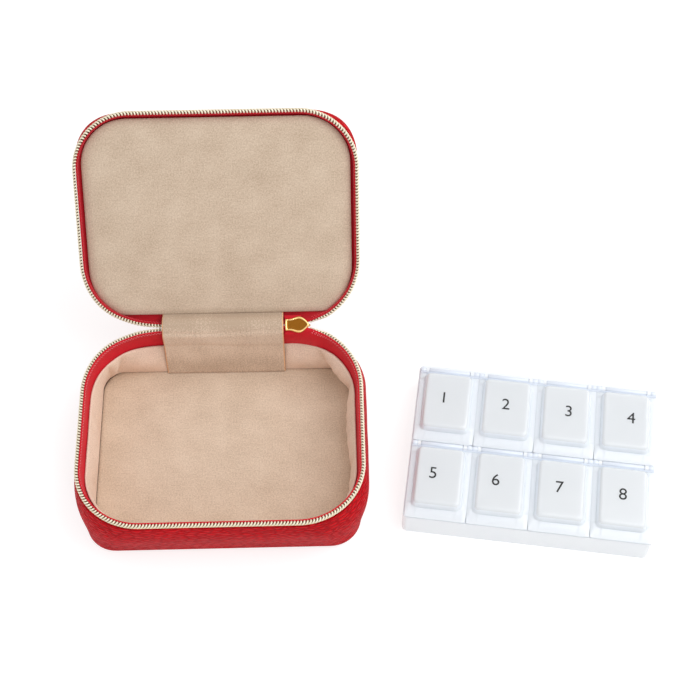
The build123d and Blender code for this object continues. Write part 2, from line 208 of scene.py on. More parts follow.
def ring(outline, share):
    """Places and outward directions at shares of the way round, leftwards from the middle of the rear."""
    width, front, rear, front_radius, rear_radius = outline
    front_y = front_radius - front
    rear_y = rear - rear_radius
    quarter = math.pi / 2
    turn = np.linspace(0, quarter, CORNER_STEPS)
    x, y, heading = [[0.0]], [[rear]], [[quarter]]
    corners = [
        (-1, rear_y, rear_radius),
        (-1, front_y, front_radius),
        (1, front_y, front_radius),
        (1, rear_y, rear_radius),
    ]
    for corner, (side, middle, radius) in enumerate(corners):
        angle = turn + (corner + 1) * quarter
        x.append(side * (width - radius) + radius * np.cos(angle))
        y.append(middle + radius * np.sin(angle))
        heading.append(angle)
    ends = ((x, 0), (y, rear), (heading, 5 * quarter))
    x, y, heading = (np.concatenate([*values, [last]]) for values, last in ends)
    way = np.concatenate([[0], np.cumsum(np.hypot(np.diff(x), np.diff(y)))])
    at = np.asarray(share) * way[-1]
    angle = np.interp(at, way, heading)
    place = np.column_stack([np.interp(at, way, x), np.interp(at, way, y)])
    return place, np.column_stack([np.cos(angle), np.sin(angle)])


def carried_round(section, share):
    """A grid of points: each place of a section, as outline, outset and height, carried round the case."""
    rows = []
    for outline, outset, height in section:
        place, outward = ring(outline, share)
        outset = np.broadcast_to(outset, share.shape)[:, None]
        rows.append(np.column_stack([place + outward * outset, np.broadcast_to(height, share.shape)]))
    return np.array(rows)


def placed(name, data):
    """A new object in the scene, with its mesh, lamp or camera data."""
    made = bpy.data.objects.new(name, data)
    bpy.context.scene.collection.objects.link(made)
    return made


def smooth_piece(name, points, faces, spots=None):
    """A smooth mesh object from points in millimetres. spots is its map, one place for each face corner."""
    mesh = bpy.data.meshes.new(name)
    mesh.from_pydata((np.asarray(points) * MM).tolist(), [], faces)
    if spots is not None:
        mesh.uv_layers.new(name="mm").data.foreach_set("uv", np.asarray(spots, dtype=np.float32).ravel())
    mesh.polygons.foreach_set("use_smooth", np.ones(len(mesh.polygons), dtype=bool))
    shape = bmesh.new()
    shape.from_mesh(mesh)
    bmesh.ops.recalc_face_normals(shape, faces=shape.faces)
    shape.to_mesh(mesh)
    shape.free()
    return placed(name, mesh)


def woven(name, grid, closed, flat=None):
    """A smooth mesh through a grid of points in millimetres, with a map that measures it in millimetres.
    It is closed round its rows, its columns or both, and has a cap at each end that this leaves open.
    flat is the same grid as it would lie flat, where the map follows that instead."""
    rows, columns = grid.shape[:2]
    index = np.arange(rows * columns).reshape(rows, columns)
    along = np.linalg.norm(np.roll(grid, -1, axis=1) - grid, axis=2).mean(axis=0)
    across = np.linalg.norm(np.roll(grid, -1, axis=0) - grid, axis=2).mean(axis=1)
    u = np.concatenate([[0], np.cumsum(along)])
    v = np.concatenate([[0], np.cumsum(across)])
    ends = []
    if closed == "rows":
        ends = [index[:, 0].tolist(), index[:, -1].tolist()]
    if closed == "columns":
        ends = [index[0].tolist(), index[-1].tolist()]
    if closed != "columns":
        index = np.vstack([index, index[:1]])
    if closed != "rows":
        index = np.hstack([index, index[:, :1]])
    corners = [index[:-1, :-1], index[:-1, 1:], index[1:, 1:], index[1:, :-1]]
    faces = np.stack(corners, axis=-1).reshape(-1, 4).tolist() + ends
    if flat is not None:
        spots = flat.reshape(-1, 3)[np.concatenate(faces)][:, :2]
    else:
        row, column = np.indices(corners[0].shape)
        spots = np.stack([u[column], v[row], u[column + 1], v[row],
                          u[column + 1], v[row + 1], u[column], v[row + 1]], axis=-1).reshape(-1, 2)
        spots = np.vstack([spots, np.zeros((sum(map(len, ends)), 2))])
    return smooth_piece(name, grid.reshape(-1, 3), faces, spots)


def dressed(piece, finish, slot, body, *nodes):
    """Gives a piece its finish, puts it on a body and hides the solids that it stands for."""
    piece.data.materials.append(finish)
    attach(piece, body)
    if nodes:
        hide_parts(*nodes)
    return piece


def lumps(grid, size, amount):
    """Soft unevenness at each point of a grid: lumps of a size, up to an amount."""
    flat = [noise.noise(Vector(point) / size) for point in grid.reshape(-1, 3)]
    return amount * np.array(flat).reshape(grid.shape[:2])


def smoothstep(low, high, value):
    """A smooth rise from 0 to 1 between two values."""
    t = np.clip((value - low) / (high - low), 0, 1)
    return t * t * (3 - 2 * t)


def leather_wall_section(top, bulge):
    """The wall's section: outside from the foot up, folded edge, inside down, and the edge rolled under."""
    hem = LEATHER / 2
    section = []
    for share in np.linspace(0, 1, WALL_ROWS):
        height = WALL_FOOT + (top - hem - WALL_FOOT) * share
        outset = bulge * math.sin(math.pi * share ** 1.5)
        section.append((mixed(WALL_FOOT_OUTLINE, WALL_TOP_OUTLINE, share), outset, height))
    for turn in np.radians([30, 60, 90, 120, 150]):
        section.append((WALL_TOP_OUTLINE, hem * math.cos(turn) - hem, top - hem + hem * math.sin(turn)))
    for share in (1.0, 0.6, 0.3, 0.06):
        height = WALL_FOOT + (top - hem - WALL_FOOT) * share
        section.append((mixed(WALL_FOOT_OUTLINE, WALL_TOP_OUTLINE, share), -LEATHER, height))
    for height in FOOT_TURN_IN_HEIGHTS:
        section.append((WALL_FOOT_OUTLINE, -FOOT_TURN_IN, height))
    for turn in np.radians([0, 18, 36, 54, 72]):
        outset = FOOT_ROLL * (math.sin(turn) - 1)
        section.append((WALL_FOOT_OUTLINE, outset, WALL_FOOT * (1 - math.cos(turn))))
    return section


all_round = np.arange(ROUND_STEPS) / ROUND_STEPS
place, outward = ring(WALL_TOP_OUTLINE, all_round)
within_zone = 1 - smoothstep(*HINGE_ZONE_WIDTH, np.abs(place[:, 0]))
away_from_hinge = 1 - smoothstep(*HINGE_ZONE_DEPTH, place[:, 1]) * within_zone
wall_top = WALL_TOP + WALL_HEM_RISE * away_from_hinge
wall_bulge = WALL_BULGE * away_from_hinge + RIGHT_SWELL * smoothstep(*RIGHT_SIDE, place[:, 0])
grid = carried_round(leather_wall_section(wall_top, wall_bulge), all_round)
uneven = lumps(grid, *WALL_LUMPS)[:WALL_ROWS]
grid[:WALL_ROWS, :, :2] += uneven[:, :, None] * outward[None]
side_leather = woven("base_side_skin", grid, "both")
dressed(side_leather, red_leather, "leather", "base", "base_side_leather")

# Leather of the underside: a flat panel of the same hide, glued to the bottom board inside the rolled edge.
# Only its rounded rim and a slight hollow in the middle show that it is soft.
PANEL_STEPS = 240
PANEL_SHARES = [0.03, 0.2, 0.4, 0.6, 0.75, 0.86, 0.93, 0.97]
UNDER_ROWS = slice(0, len(PANEL_SHARES))
TOP_ROWS = slice(-len(PANEL_SHARES), None)
HIDE_EDGE = 0.35
BOTTOM_HOLLOW = 0.25
bottom_low, bottom_high = (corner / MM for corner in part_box("base_bottom_leather"))
BOTTOM_OUTLINE = (bottom_high.x, bottom_high.y, bottom_high.y, 10.45, 14.45)


def panel_grid(outline, low, high, edge, low_shape, high_shape):
    """A grid over a panel from the middle of its underside, round its edge, to the middle of its top.
    The two shapes give how far a face stands out at a share of the way from its middle to its edge."""
    short = 1 - 1 / min(outline[:2]) * edge
    section = [(share, low - low_shape(share)) for share in PANEL_SHARES]
    section += [(short, low - low_shape(1.0)), (1.0, low + edge)]
    section += [(1.0, high - edge), (short, high + high_shape(1.0))]
    section += [(share, high + high_shape(share)) for share in reversed(PANEL_SHARES)]
    levels = [(tuple(size * scale for size in outline), 0.0, height) for scale, height in section]
    return carried_round(levels, np.arange(PANEL_STEPS) / PANEL_STEPS)


def level(share):
    """A flat face."""
    return 0.0


def hollow(share):
    """A face drawn in towards its middle, so that it stands on its rim."""
    return -BOTTOM_HOLLOW * (1 - share ** 4)


grid = panel_grid(BOTTOM_OUTLINE, bottom_low.z, bottom_high.z, HIDE_EDGE, hollow, level)
bottom_leather = woven("base_bottom_skin", grid, "columns", flat=grid)
dressed(bottom_leather, red_leather, "leather", "base", "base_bottom_leather")

# Boards inside the lower half: grey board under the floor and a strip of it bent round the wall.
# They are die-cut, glued in between leather and lining, and hidden when the case is whole.
CARD = 1.0
CARD_FOOT = 3.3
CARD_TOP = 21.0
CARD_INSIDE_FOOT = (58.8, 44.7, 44.7, 11.7, 11.7)
CARD_INSIDE_TOP = (60.3, 47.3, 47.9, 25.3, 29.2)


def speckle(start, scale, detail, distortion=0.0):
    """Noise all through a piece, at a scale to its own metres."""
    spot = start.node("TexCoord", output=3)
    sockets = {"Vector": spot, "Scale": scale, "Detail": detail, "Distortion": distortion}
    return start.node("TexNoise", {}, sockets)


def make_grey_board():
    """Pressed paper board with short fibres."""
    made, start = new_finish("grey_board")
    fibre = speckle(start, 900.0, 4.0, 1.2)
    shade = fibre * 0.7 + speckle(start, 90.0, 2.0) * 0.3
    coat(start, {
        "Base Color": colour_between(start, shade, paint(120, 108, 92), paint(168, 156, 138)),
        "Roughness": 0.9,
        "Normal": raised(start, fibre, 0.4, 0.1),
    })
    return made


grey_board = make_grey_board()
frame["nodes"]["base_bottom_board"].material_slots[0].material = grey_board
section = [
    (CARD_INSIDE_FOOT, 0.0, CARD_FOOT),
    (CARD_INSIDE_TOP, 0.0, CARD_TOP),
    (CARD_INSIDE_TOP, CARD, CARD_TOP),
    (CARD_INSIDE_FOOT, CARD, CARD_FOOT),
]
wall_card = woven("base_wall_card", carried_round(section, all_round), "both")
dressed(wall_card, grey_board, "board", "base", "base_wall_stiffener")

# Floor of the lower half: thin board covered in beige suede cloth, laid in loose between the wall's lining.
# The cloth is brushed, so it shows a short nap with soft lighter and darker strokes.
FLOOR_EDGE = 0.4
FLOOR_REACH = 0.4
FLOOR_CORNER = 11.4
FLOOR_LUMPS = (14.0, 0.12)
floor_low, floor_high = (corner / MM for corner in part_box("base_floor_lining"))
floor_width, floor_depth = floor_high.x + FLOOR_REACH, floor_high.y + FLOOR_REACH
FLOOR_OUTLINE = (floor_width, floor_depth, floor_depth, FLOOR_CORNER, FLOOR_CORNER)
FLOOR_TOP = floor_high.z


def make_suede(name, dark, middle, light, painted_shade_bands=()):
    """Brushed cloth: fine nap, longer strokes of the brush and faint cloudy patches.
    The last argument lists places along the cloth between which painted shade changes the colour, and by how
    much."""
    made, start = new_finish(name)
    spot = millimetres(start)
    nap = map_noise(start, spot, {"Scale": 1.5, "Detail": 3.0, "Roughness": 0.7})
    long_spot = millimetres(start, (0.22, 0.9, 1))
    stroke = map_noise(start, long_spot, {"Scale": 0.9, "Detail": 2.0, "Distortion": 0.4})
    cloud = map_noise(start, spot, {"Scale": 0.07, "Detail": 2.0})
    shade = nap * 0.8 + stroke * 0.12 + cloud * 0.24
    for first, last, change in painted_shade_bands:
        along = start.node("SeparateXYZ", {}, {0: spot})
        turn = {"Value": along, "From Min": first, "From Max": last, "To Min": 0.0, "To Max": change}
        shade = shade + start.node("MapRange", {"interpolation_type": "SMOOTHSTEP"}, turn)
    stops = [(0.36, dark), (0.58, middle), (0.80, light)]
    coat(start, {
        "Base Color": start.node("ValToRGB", {"stops": stops}, {0: shade}),
        "Roughness": 0.95,
        "Specular IOR Level": 0.15,
        "Sheen Weight": 0.12,
        "Sheen Roughness": 0.5,
        "Normal": raised(start, nap * 0.7 + stroke * 0.3, 0.35, 0.12),
    })
    return made


# The floor's suede is a lighter copy of the beige cloth, as painted light for the stronger light that falls
# on the floor from above.
floor_suede_lit = make_suede("floor_suede_lit", paint(193, 170, 148), paint(215, 193, 171), paint(231, 211, 190))
grid = panel_grid(FLOOR_OUTLINE, floor_low.z, FLOOR_TOP, FLOOR_EDGE, level, level)
flat_floor = grid.copy()
grid[TOP_ROWS, :, 2] += lumps(grid[TOP_ROWS], *FLOOR_LUMPS)
floor_cloth = woven("base_floor_cloth", grid, "columns", flat=flat_floor)
dressed(floor_cloth, floor_suede_lit, "suede", "base", "base_floor_lining")

# Lining of the wall: a strip of the same suede cloth, longer than the wall, so that it falls in soft puckers.
# Its upper edge is turned over and sewn to the zip's tape, and its lower edge is tucked in beside the floor.
LINING_TOP = 25.8
LINING_FOOT = FLOOR_TOP + 0.1
LINING_REAR_DROP = 4.2
LINING_REAR_LEAN = 0.3
LINING_TOP_OUTLINE = (59.6, 46.6, 47.2, 25.8, 30.5)
LINING_FOOT_OUTLINE = (58.1, 44.0, 43.3, 11.0, 10.0)
LINING_CLOTH = 0.6
LINING_STEPS = 620
LINING_ROWS = 22
LINING_EXTRA_LENGTH = 1.04
LINING_EXTRA_HEIGHT = 1.05
EDGE_WAVE = 0.15
RIPPLE = 0.16
SLACK = 0.35
HINGE_HALF = 28.0
LINING_UNDERLAP = 1.5
STRIP_NEARNESS = 24.0
PUCKERS = [28, 49, 58, 82, 118, 152, 193, 236, 275, 312, 339]
PUCKER_SLANTS = [0, 5, -3, 4, -4, 3, 0, 4, -3, 5, -9, 0]
PUCKER_DEPTHS = [3.0, 2.2, 1.3, 1.4, 1.9, 2.0, 2.0, 2.2, 2.4, 4.2, 3.0]
lining_girth = girth(mixed(LINING_FOOT_OUTLINE, LINING_TOP_OUTLINE, 0.5))
lining_start = HINGE_HALF - LINING_UNDERLAP
lining_share = np.linspace(lining_start, lining_girth - lining_start, LINING_STEPS) / lining_girth
lining_way = lining_share * lining_girth
puckers = np.array([*PUCKERS, lining_girth - HINGE_HALF])


def near_strip(way, total):
    """How near a way round the case is to the hinge's strip: 1 beside it, falling to 0 at the sides."""
    from_strip = np.maximum(np.minimum(way, total - way) - HINGE_HALF, 0)
    return np.exp(-((from_strip / STRIP_NEARNESS) ** 2))


near_hinge = near_strip(lining_way, lining_girth)
lining_top = LINING_TOP - LINING_REAR_DROP * near_hinge + EDGE_WAVE * np.sin(lining_way * 0.31)


def swell(share_up):
    """How far the lining stands off the wall at a share of its height: a bulge between each two puckers."""
    edges = puckers + np.array(PUCKER_SLANTS) * (1 - share_up)
    lobe = np.clip(np.searchsorted(edges, lining_way) - 1, 0, len(PUCKER_DEPTHS) - 1)
    across = np.clip((lining_way - edges[lobe]) / (edges[lobe + 1] - edges[lobe]), 0, 1)
    return np.array(PUCKER_DEPTHS)[lobe] * np.sin(np.pi * across) ** 0.6


def lining_face(outset):
    """One face of the lining from its foot to its upper edge."""
    rows = []
    for share_up in np.linspace(0, 1, LINING_ROWS):
        outline = mixed(LINING_FOOT_OUTLINE, LINING_TOP_OUTLINE, share_up)
        belly = math.sin(math.pi * share_up ** 1.1) ** 0.9
        ripple = RIPPLE * np.sin(lining_way * 0.9 + 5 * share_up) * belly
        lean = LINING_REAR_LEAN * share_up * near_hinge
        height = LINING_FOOT + (lining_top - LINING_FOOT) * share_up
        rows.append((outline, outset - belly * (SLACK + swell(share_up)) - ripple - lean, height))
    return rows


grid = carried_round(lining_face(0.0) + lining_face(LINING_CLOTH)[::-1], lining_share)
wall_lining = woven("base_wall_cloth", grid, "rows")
pale_suede = make_suede("pale_suede", paint(211, 185, 165), paint(234, 208, 188), paint(246, 222, 204))
dressed(wall_lining, pale_suede, "suede", "base", "base_wall_lining")
cut_length = (lining_girth - 2 * lining_start) * LINING_EXTRA_LENGTH
cut_height = (LINING_TOP - FLOOR_TOP) * LINING_EXTRA_HEIGHT
lining_cut = (cut_length * MM, cut_height * MM)

# Zip tapes: woven red ribbon along each half's rim, sewn in behind the leather, with two rows of stitches.
# Near the slider the tape curls over into the closed chain. Left of the hinge's strip the two halves' tapes
# draw apart at once.
joints = {joint["name"]: joint for joint in frame["record"]["behaviour"]["joints"]}
HINGE_Y, HINGE_Z = (value / MM for value in joints["lid_hinge"]["pos_m"][1:])
OPEN_ANGLE = math.radians(joints["lid_hinge"]["range_deg"][1])
BASE_RIM = (62.7, 49.7, 50.3, 28.5, 33.0)
LID_RIM = (62.7, 49.8, 50.3, 25.5, 31.5)
RIM_SAMPLES = 4001
REAR_SAMPLES = 800
TAPE = 0.6
TAPE_STEPS = 620
TAPE_UNDERLAP = 2.0
TAPE_OUTSIDE_RISE = 0.1
BASE_TAPE = [(-1.15, -0.7), (-1.15, -1.6), (-1.15, -2.6), (-1.25, -4.0),
             (-1.5, -5.6), (-1.9, -7.2), (-2.4, -8.5), (-2.8, -9.3)]
BASE_TAPE_DEEPER = 4.6
LID_TAPE = [(-1.1, -0.7), (-1.1, -1.5), (-1.1, -2.4), (-1.2, -3.4),
            (-1.7, -4.3), (-3.0, -4.8), (-5.0, -4.95), (-7.2, -5.0)]
LID_TAPE_DEEPER = 0.0
MOUTH = 41.0
MOUTH_ROOM = 8.0
FOLD_SHIFT = 1.25
FOLD_ZONE = (30.0, 41.0)
PARTING = 1.7
PARTING_FULL = 41.0
PARTING_END = 60.0
PITCH = 1.41
STITCH_LENGTH = 0.62
STITCH_RADIUS = 0.22
STITCH_MARGIN = 0.8
STITCH_SLANT = 0.35
STITCH_ROWS = [(-1.1, -1.5, 0.95, 0.0), (-1.1, -2.3, 0.89, 0.5)]


def turned(points, angle):
    """Points turned about the hinge by an angle."""
    y, z = points[..., 1] - HINGE_Y, points[..., 2] - HINGE_Z
    cosine, sine = np.cos(angle), np.sin(angle)
    turned_y = HINGE_Y + y * cosine - z * sine
    turned_z = HINGE_Z + y * sine + z * cosine
    return np.stack([points[..., 0], turned_y, turned_z], axis=-1)


def opened(points):
    """Points of the shut lid, where they lie with the lid open."""
    return turned(points, -OPEN_ANGLE)


def over(points):
    """Points of the lower half folded over to the same place in the open lid."""
    shut = points.copy()
    shut[..., 2] = 2 * HINGE_Z - shut[..., 2]
    return opened(shut)


def row_ends(rim, left, right):
    """Shares of the way round a rim from a place left of the hinge, all round, to one right of it."""
    many = np.linspace(0, 1, RIM_SAMPLES)
    x = ring(rim, many)[0][:, 0]
    first = np.interp(-left, -x[:REAR_SAMPLES], many[:REAR_SAMPLES])
    last = np.interp(right, x[-REAR_SAMPLES:][::-1], many[-REAR_SAMPLES:][::-1])
    return first, last


def on_row(rim, share, outset, height, curl):
    """Places beside the rim, out and up from it. Near the slider they curl over with the closing chain.
    Left of the hinge they make room for the fold and draw back from the other half's row."""
    place, outward = ring(rim, share)
    x = place[:, 0]
    rear_right = (share > 0.5) & (place[:, 1] > 0)
    rear_left = (share <= 0.5) & (place[:, 1] > 0)
    near_slider = np.where(rear_right, 1 - smoothstep(MOUTH, MOUTH + MOUTH_ROOM, x), 0.0)
    near_fold = np.where(rear_left, 1 - smoothstep(*FOLD_ZONE, -x), 0.0)
    parted = smoothstep(HINGE_HALF, PARTING_FULL, -x) * (1 - smoothstep(PARTING_FULL, PARTING_END, -x))
    parted = np.where(rear_left, parted, 0.0)
    flat_out = outward * np.broadcast_to(outset, share.shape)[:, None]
    rise = np.broadcast_to(height, share.shape)
    angle = -near_slider * curl * OPEN_ANGLE / 2
    y = flat_out[:, 1] * np.cos(angle) - rise * np.sin(angle)
    z = flat_out[:, 1] * np.sin(angle) + rise * np.cos(angle)
    half = math.pi / 2 - OPEN_ANGLE / 2
    shift = near_fold * FOLD_SHIFT * curl
    y = place[:, 1] + y - shift * math.cos(half) - parted * PARTING * curl
    z = HINGE_Z + z - shift * math.sin(half)
    return np.column_stack([x + flat_out[:, 0], y, z])


def tape_grid(rim, section, rear_depth):
    """The ribbon's two faces along a rim, from its edge under the coil down to its hidden edge.
    Beside the hinge its hidden edge lies deeper."""
    end = HINGE_HALF - TAPE_UNDERLAP
    share = np.linspace(*row_ends(rim, -end, end), TAPE_STEPS)
    deeper = rear_depth * near_strip(share * girth(rim), girth(rim))
    inside, outside = [], []
    for row, (outset, height) in enumerate(section):
        down = row / (len(section) - 1)
        curl = (1 - down) ** 1.4
        height = height - deeper * down ** 2
        inside.append(on_row(rim, share, outset, height, curl))
        outside.append(on_row(rim, share, outset + TAPE, height + TAPE_OUTSIDE_RISE, curl))
    return np.array(inside + outside[::-1])


def make_tape(name, dark, light):
    """Fine plain weave: ribs across the ribbon and threads along it."""
    made, start = new_finish(name)
    spot = millimetres(start)
    ribs = start.node("TexWave", {"bands_direction": "X"},
                      {"Vector": spot, "Scale": 0.62, "Distortion": 0.6, "Detail": 1.0}, output=1)
    threads = start.node("TexWave", {"bands_direction": "Y"},
                         {"Vector": spot, "Scale": 0.85, "Distortion": 0.4, "Detail": 1.0}, output=1)
    fuzz = map_noise(start, spot, {"Scale": 1.3, "Detail": 3.0})
    weave = ribs * 0.5 + threads * 0.5
    coat(start, {
        "Base Color": colour_between(start, weave * 0.6 + fuzz * 0.5, dark, light),
        "Roughness": 0.72,
        "Specular IOR Level": 0.3,
        "Sheen Weight": 0.08,
        "Normal": raised(start, weave, 0.5, 0.12),
    })
    return made


def make_twisted(name, scale, roughness, dark, light):
    """Spun thread or cord, with its twist at a scale."""
    made, start = new_finish(name)
    twist = speckle(start, scale, 2.0)
    colour = colour_between(start, twist, dark, light)
    coat(start, {"Base Color": colour, "Roughness": roughness, "Normal": raised(start, twist, 0.3, 0.05)})
    return made


red_tape = make_tape("red_tape", paint(180, 6, 24), paint(228, 22, 42))
# The lid's tape is a darker copy of the same ribbon, as painted shade inside the open lid.
red_tape_shaded = make_tape("red_tape_shaded", paint(160, 4, 20), paint(206, 16, 36))
pale_thread = make_twisted("pale_thread", 2500.0, 0.6, paint(228, 98, 108), paint(252, 168, 174))
# The lid's thread is a darker copy of the stitching thread, as painted shade on the lid's stitches.
lid_thread_shaded = make_twisted("lid_thread_shaded", 2500.0, 0.6, paint(204, 48, 60), paint(230, 86, 96))


def unit(rows):
    """The directions of rows, each with a length of one."""
    return rows / np.linalg.norm(rows, axis=1)[:, None]


def round_angles(sides):
    """Equal steps of angle all round."""
    return np.arange(sides) * 2 * math.pi / sides


def capsule(rings, sides, length, radius):
    """Points and faces of a short rounded stitch along X."""
    points, faces = [], []
    for place in np.linspace(-1, 1, rings):
        reach = radius * math.sqrt(max(0.12, 1 - place ** 2))
        for turn in round_angles(sides):
            points.append((place * length / 2, reach * math.cos(turn), reach * math.sin(turn)))
    for r in range(rings - 1):
        for s in range(sides):
            t = (s + 1) % sides
            faces.append((r * sides + s, r * sides + t, (r + 1) * sides + t, (r + 1) * sides + s))
    faces.append(tuple(range(sides)))
    faces.append(tuple(range((rings - 1) * sides, rings * sides)))
    return np.array(points), faces


def stitching(rim):
    """Two rows of stitches along a ribbon's inner face."""
    first, last = row_ends(rim, -HINGE_HALF - STITCH_MARGIN, MOUTH)
    count = int(girth(rim) * (last - first) / PITCH)
    template, template_faces = capsule(4, 6, STITCH_LENGTH, STITCH_RADIUS)
    points, faces = [], []
    for outset, height, curl, step in STITCH_ROWS:
        share = first + (last - first) * (np.arange(count) + step) / count
        centre = on_row(rim, share, outset, height, curl)
        ahead = unit(np.gradient(centre, axis=0))
        higher = unit(on_row(rim, share, outset, height + 0.1, curl) - centre)
        aside = np.cross(ahead, higher)
        slant = ahead + STITCH_SLANT * higher
        for index in range(count):
            start = len(points)
            points.extend(centre[index] + template @ np.array([slant[index], higher[index], aside[index]]))
            faces.extend(tuple(start + corner for corner in face) for face in template_faces)
    return np.array(points), faces


HALVES = [
    ("base", BASE_RIM, BASE_TAPE, BASE_TAPE_DEEPER, red_tape, pale_thread),
    ("lid", LID_RIM, LID_TAPE, LID_TAPE_DEEPER, red_tape_shaded, lid_thread_shaded),
]
for half, rim, section, rear_depth, ribbon, thread in HALVES:
    grid = tape_grid(rim, section, rear_depth)
    points, faces = stitching(rim)
    if half == "lid":
        grid = over(grid)
        points = over(points)
    tape = woven(f"{half}_tape_ribbon", grid, "rows")
    dressed(tape, ribbon, "zip_tape", half, f"{half}_zip_tape")
    stitches = smooth_piece(f"{half}_tape_stitches", points, faces)
    dressed(stitches, thread, "zip_tape", half)

# Zip coils: champagne-plated nylon wire wound round a filler cord, made dark as painted shade in the gaps
# between the loops, sewn to each tape's outer face.
# The loops stand a little above the tape's edge, so their tips mesh with the other row's when it is zipped.
# A warmer, darker wire runs along the loops' lower outer side, as painted warm shade there.
COIL_OUT = 0.3
COIL_DOWN = -1.15
COIL_UNDERLAP = 0.4
COIL_SHORT = 1.0
LOOP_OUT = 0.62
LOOP_UP = 0.7
LOOP_SQUARE = 0.8
LOOP_STEPS = 14
LOOP_LEAN = 0.3
WIRE = 0.4
WIRE_SIDES = 6
CORD_SHARE = 0.55
CORD_SIDES = 8
EDGE_WIRE = 0.3
EDGE_WIRE_OUT = 0.95
EDGE_WIRE_DOWN = 0.75
WIRE_PLATING = (0.3, 700.0, 0.0, 0.14)


def make_plated(name, plating, roughness, dark, light):
    """Plated wire or metal with faint streaks.
    plating says how metallic it is, and the scale, the distortion and the roughness of the streaks."""
    metallic, scale, distortion, streaks = plating
    made, start = new_finish(name)
    streak = speckle(start, scale, 3.0, distortion)
    colour = colour_between(start, streak, dark, light)
    coat(start, {"Base Color": colour, "Metallic": metallic, "Roughness": roughness + streak * streaks})
    return made


champagne = make_plated("champagne_wire", WIRE_PLATING, 0.26, paint(226, 212, 180), paint(255, 249, 232))
warm_shade_wire = make_plated("warm_shade_wire", WIRE_PLATING, 0.26, paint(214, 172, 112), paint(250, 216, 166))
# The filler cord is dark, as painted shade between the loops.
filler_cord_painted_shade = make_twisted("filler_cord_painted_shade", 1500.0, 0.85, paint(84, 72, 46), paint(140, 122, 84))


def wire_grid(path, out, radius, sides):
    """Rows of points round a wire along a path. out points away from what the wire is wound on."""
    ahead = unit(np.gradient(path, axis=0))
    out = unit(out - (out * ahead).sum(axis=1)[:, None] * ahead)
    aside = np.cross(ahead, out)
    turns = round_angles(sides)
    return np.array([path + radius * (math.cos(turn) * out + math.sin(turn) * aside) for turn in turns])


def squared(wave):
    """A wave with fuller shoulders, so that a loop is wound in a rounded square."""
    return np.sign(wave) * np.abs(wave) ** LOOP_SQUARE


def coil_row(rim):
    """The wire, the filler cord and the edge wire of a row along a rim."""
    first, last = row_ends(rim, -HINGE_HALF + COIL_UNDERLAP, MOUTH - COIL_SHORT)
    loops = int(girth(rim) * (last - first) / PITCH)
    turn = np.linspace(0, loops * 2 * math.pi, loops * LOOP_STEPS)
    out, up = squared(np.cos(turn)), squared(np.sin(turn))
    share = first + (last - first) * (turn / turn[-1] + LOOP_LEAN / loops * up)
    share = np.clip(share, first, last)
    path = on_row(rim, share, COIL_OUT + LOOP_OUT * out, COIL_DOWN + LOOP_UP * up, 1.0)
    wire = wire_grid(path, path - on_row(rim, share, COIL_OUT, COIL_DOWN, 1.0), WIRE, WIRE_SIDES)
    share = np.linspace(first, last, TAPE_STEPS)
    cord = []
    for angle in round_angles(CORD_SIDES):
        outset = COIL_OUT + CORD_SHARE * LOOP_OUT * math.cos(angle)
        cord.append(on_row(rim, share, outset, COIL_DOWN + CORD_SHARE * LOOP_UP * math.sin(angle), 1.0))
    path = on_row(rim, share, COIL_OUT + LOOP_OUT * EDGE_WIRE_OUT, COIL_DOWN - LOOP_UP * EDGE_WIRE_DOWN, 1.0)
    edge = wire_grid(path, path - on_row(rim, share, COIL_OUT, COIL_DOWN, 1.0), EDGE_WIRE, WIRE_SIDES)
    return wire, np.array(cord), edge


for half, rim in (("base", BASE_RIM), ("lid", LID_RIM)):
    wire, cord, edge = coil_row(rim)
    if half == "lid":
        wire, cord, edge = over(wire), over(cord), over(edge)
    coil = woven(f"{half}_coil_wire", wire, "rows")
    dressed(coil, champagne, "zip_coil", half, f"{half}_zip_coil")
    filler = woven(f"{half}_coil_filler", cord, "rows")
    dressed(filler, filler_cord_painted_shade, "zip_coil", half)
    edge_wire = woven(f"{half}_coil_edge", edge, "rows")
    dressed(edge_wire, warm_shade_wire, "zip_coil", half)

# Hinge of the case: a strip of the red leather outside, and a wide strip of suede cloth inside it.
# The cloth runs from the floor up the rear wall, over the fold and under the edge of the lid's panel.
# Its two cut edges show the warmer colour of the cloth's core.
HINGE_CLOTH = 0.8
HINGE_HIDE = 1.2
CLOTH_FOOT = (42.4, 4.6)
CLOTH_KNEE = (44.7, 20.0)
CLOTH_TOP = (45.7, 30.6)
CLOTH_LID_RUN = [(45.0, 37.3), (44.0, 38.3), (42.5, 38.4)]
HIDE_FOOT = (50.1, 28.25)
HIDE_LID_RUN = [(50.1, 38.75)]
CLOTH_BEND_STEPS = 22
HIDE_BEND_STEPS = 16
RUN_STEPS = 14
HINGE_COLUMNS = 90
STRIP_CHAMFER = 0.65
CREASES = [(0.36, 1.4, 0.35), (0.62, 1.0, 0.28), (0.74, 0.8, 0.3)]
CREASE_SHARPNESS = 48
# Painted shade along the hinge's strip, in millimetres up its length: darker from 27 to 33 on, over the fold
# and along the lid, and darker from 15 down to 6, near the floor.
STRIP_PAINTED_SHADE = [(27.0, 33.0, -0.24), (15.0, 6.0, -0.1)]


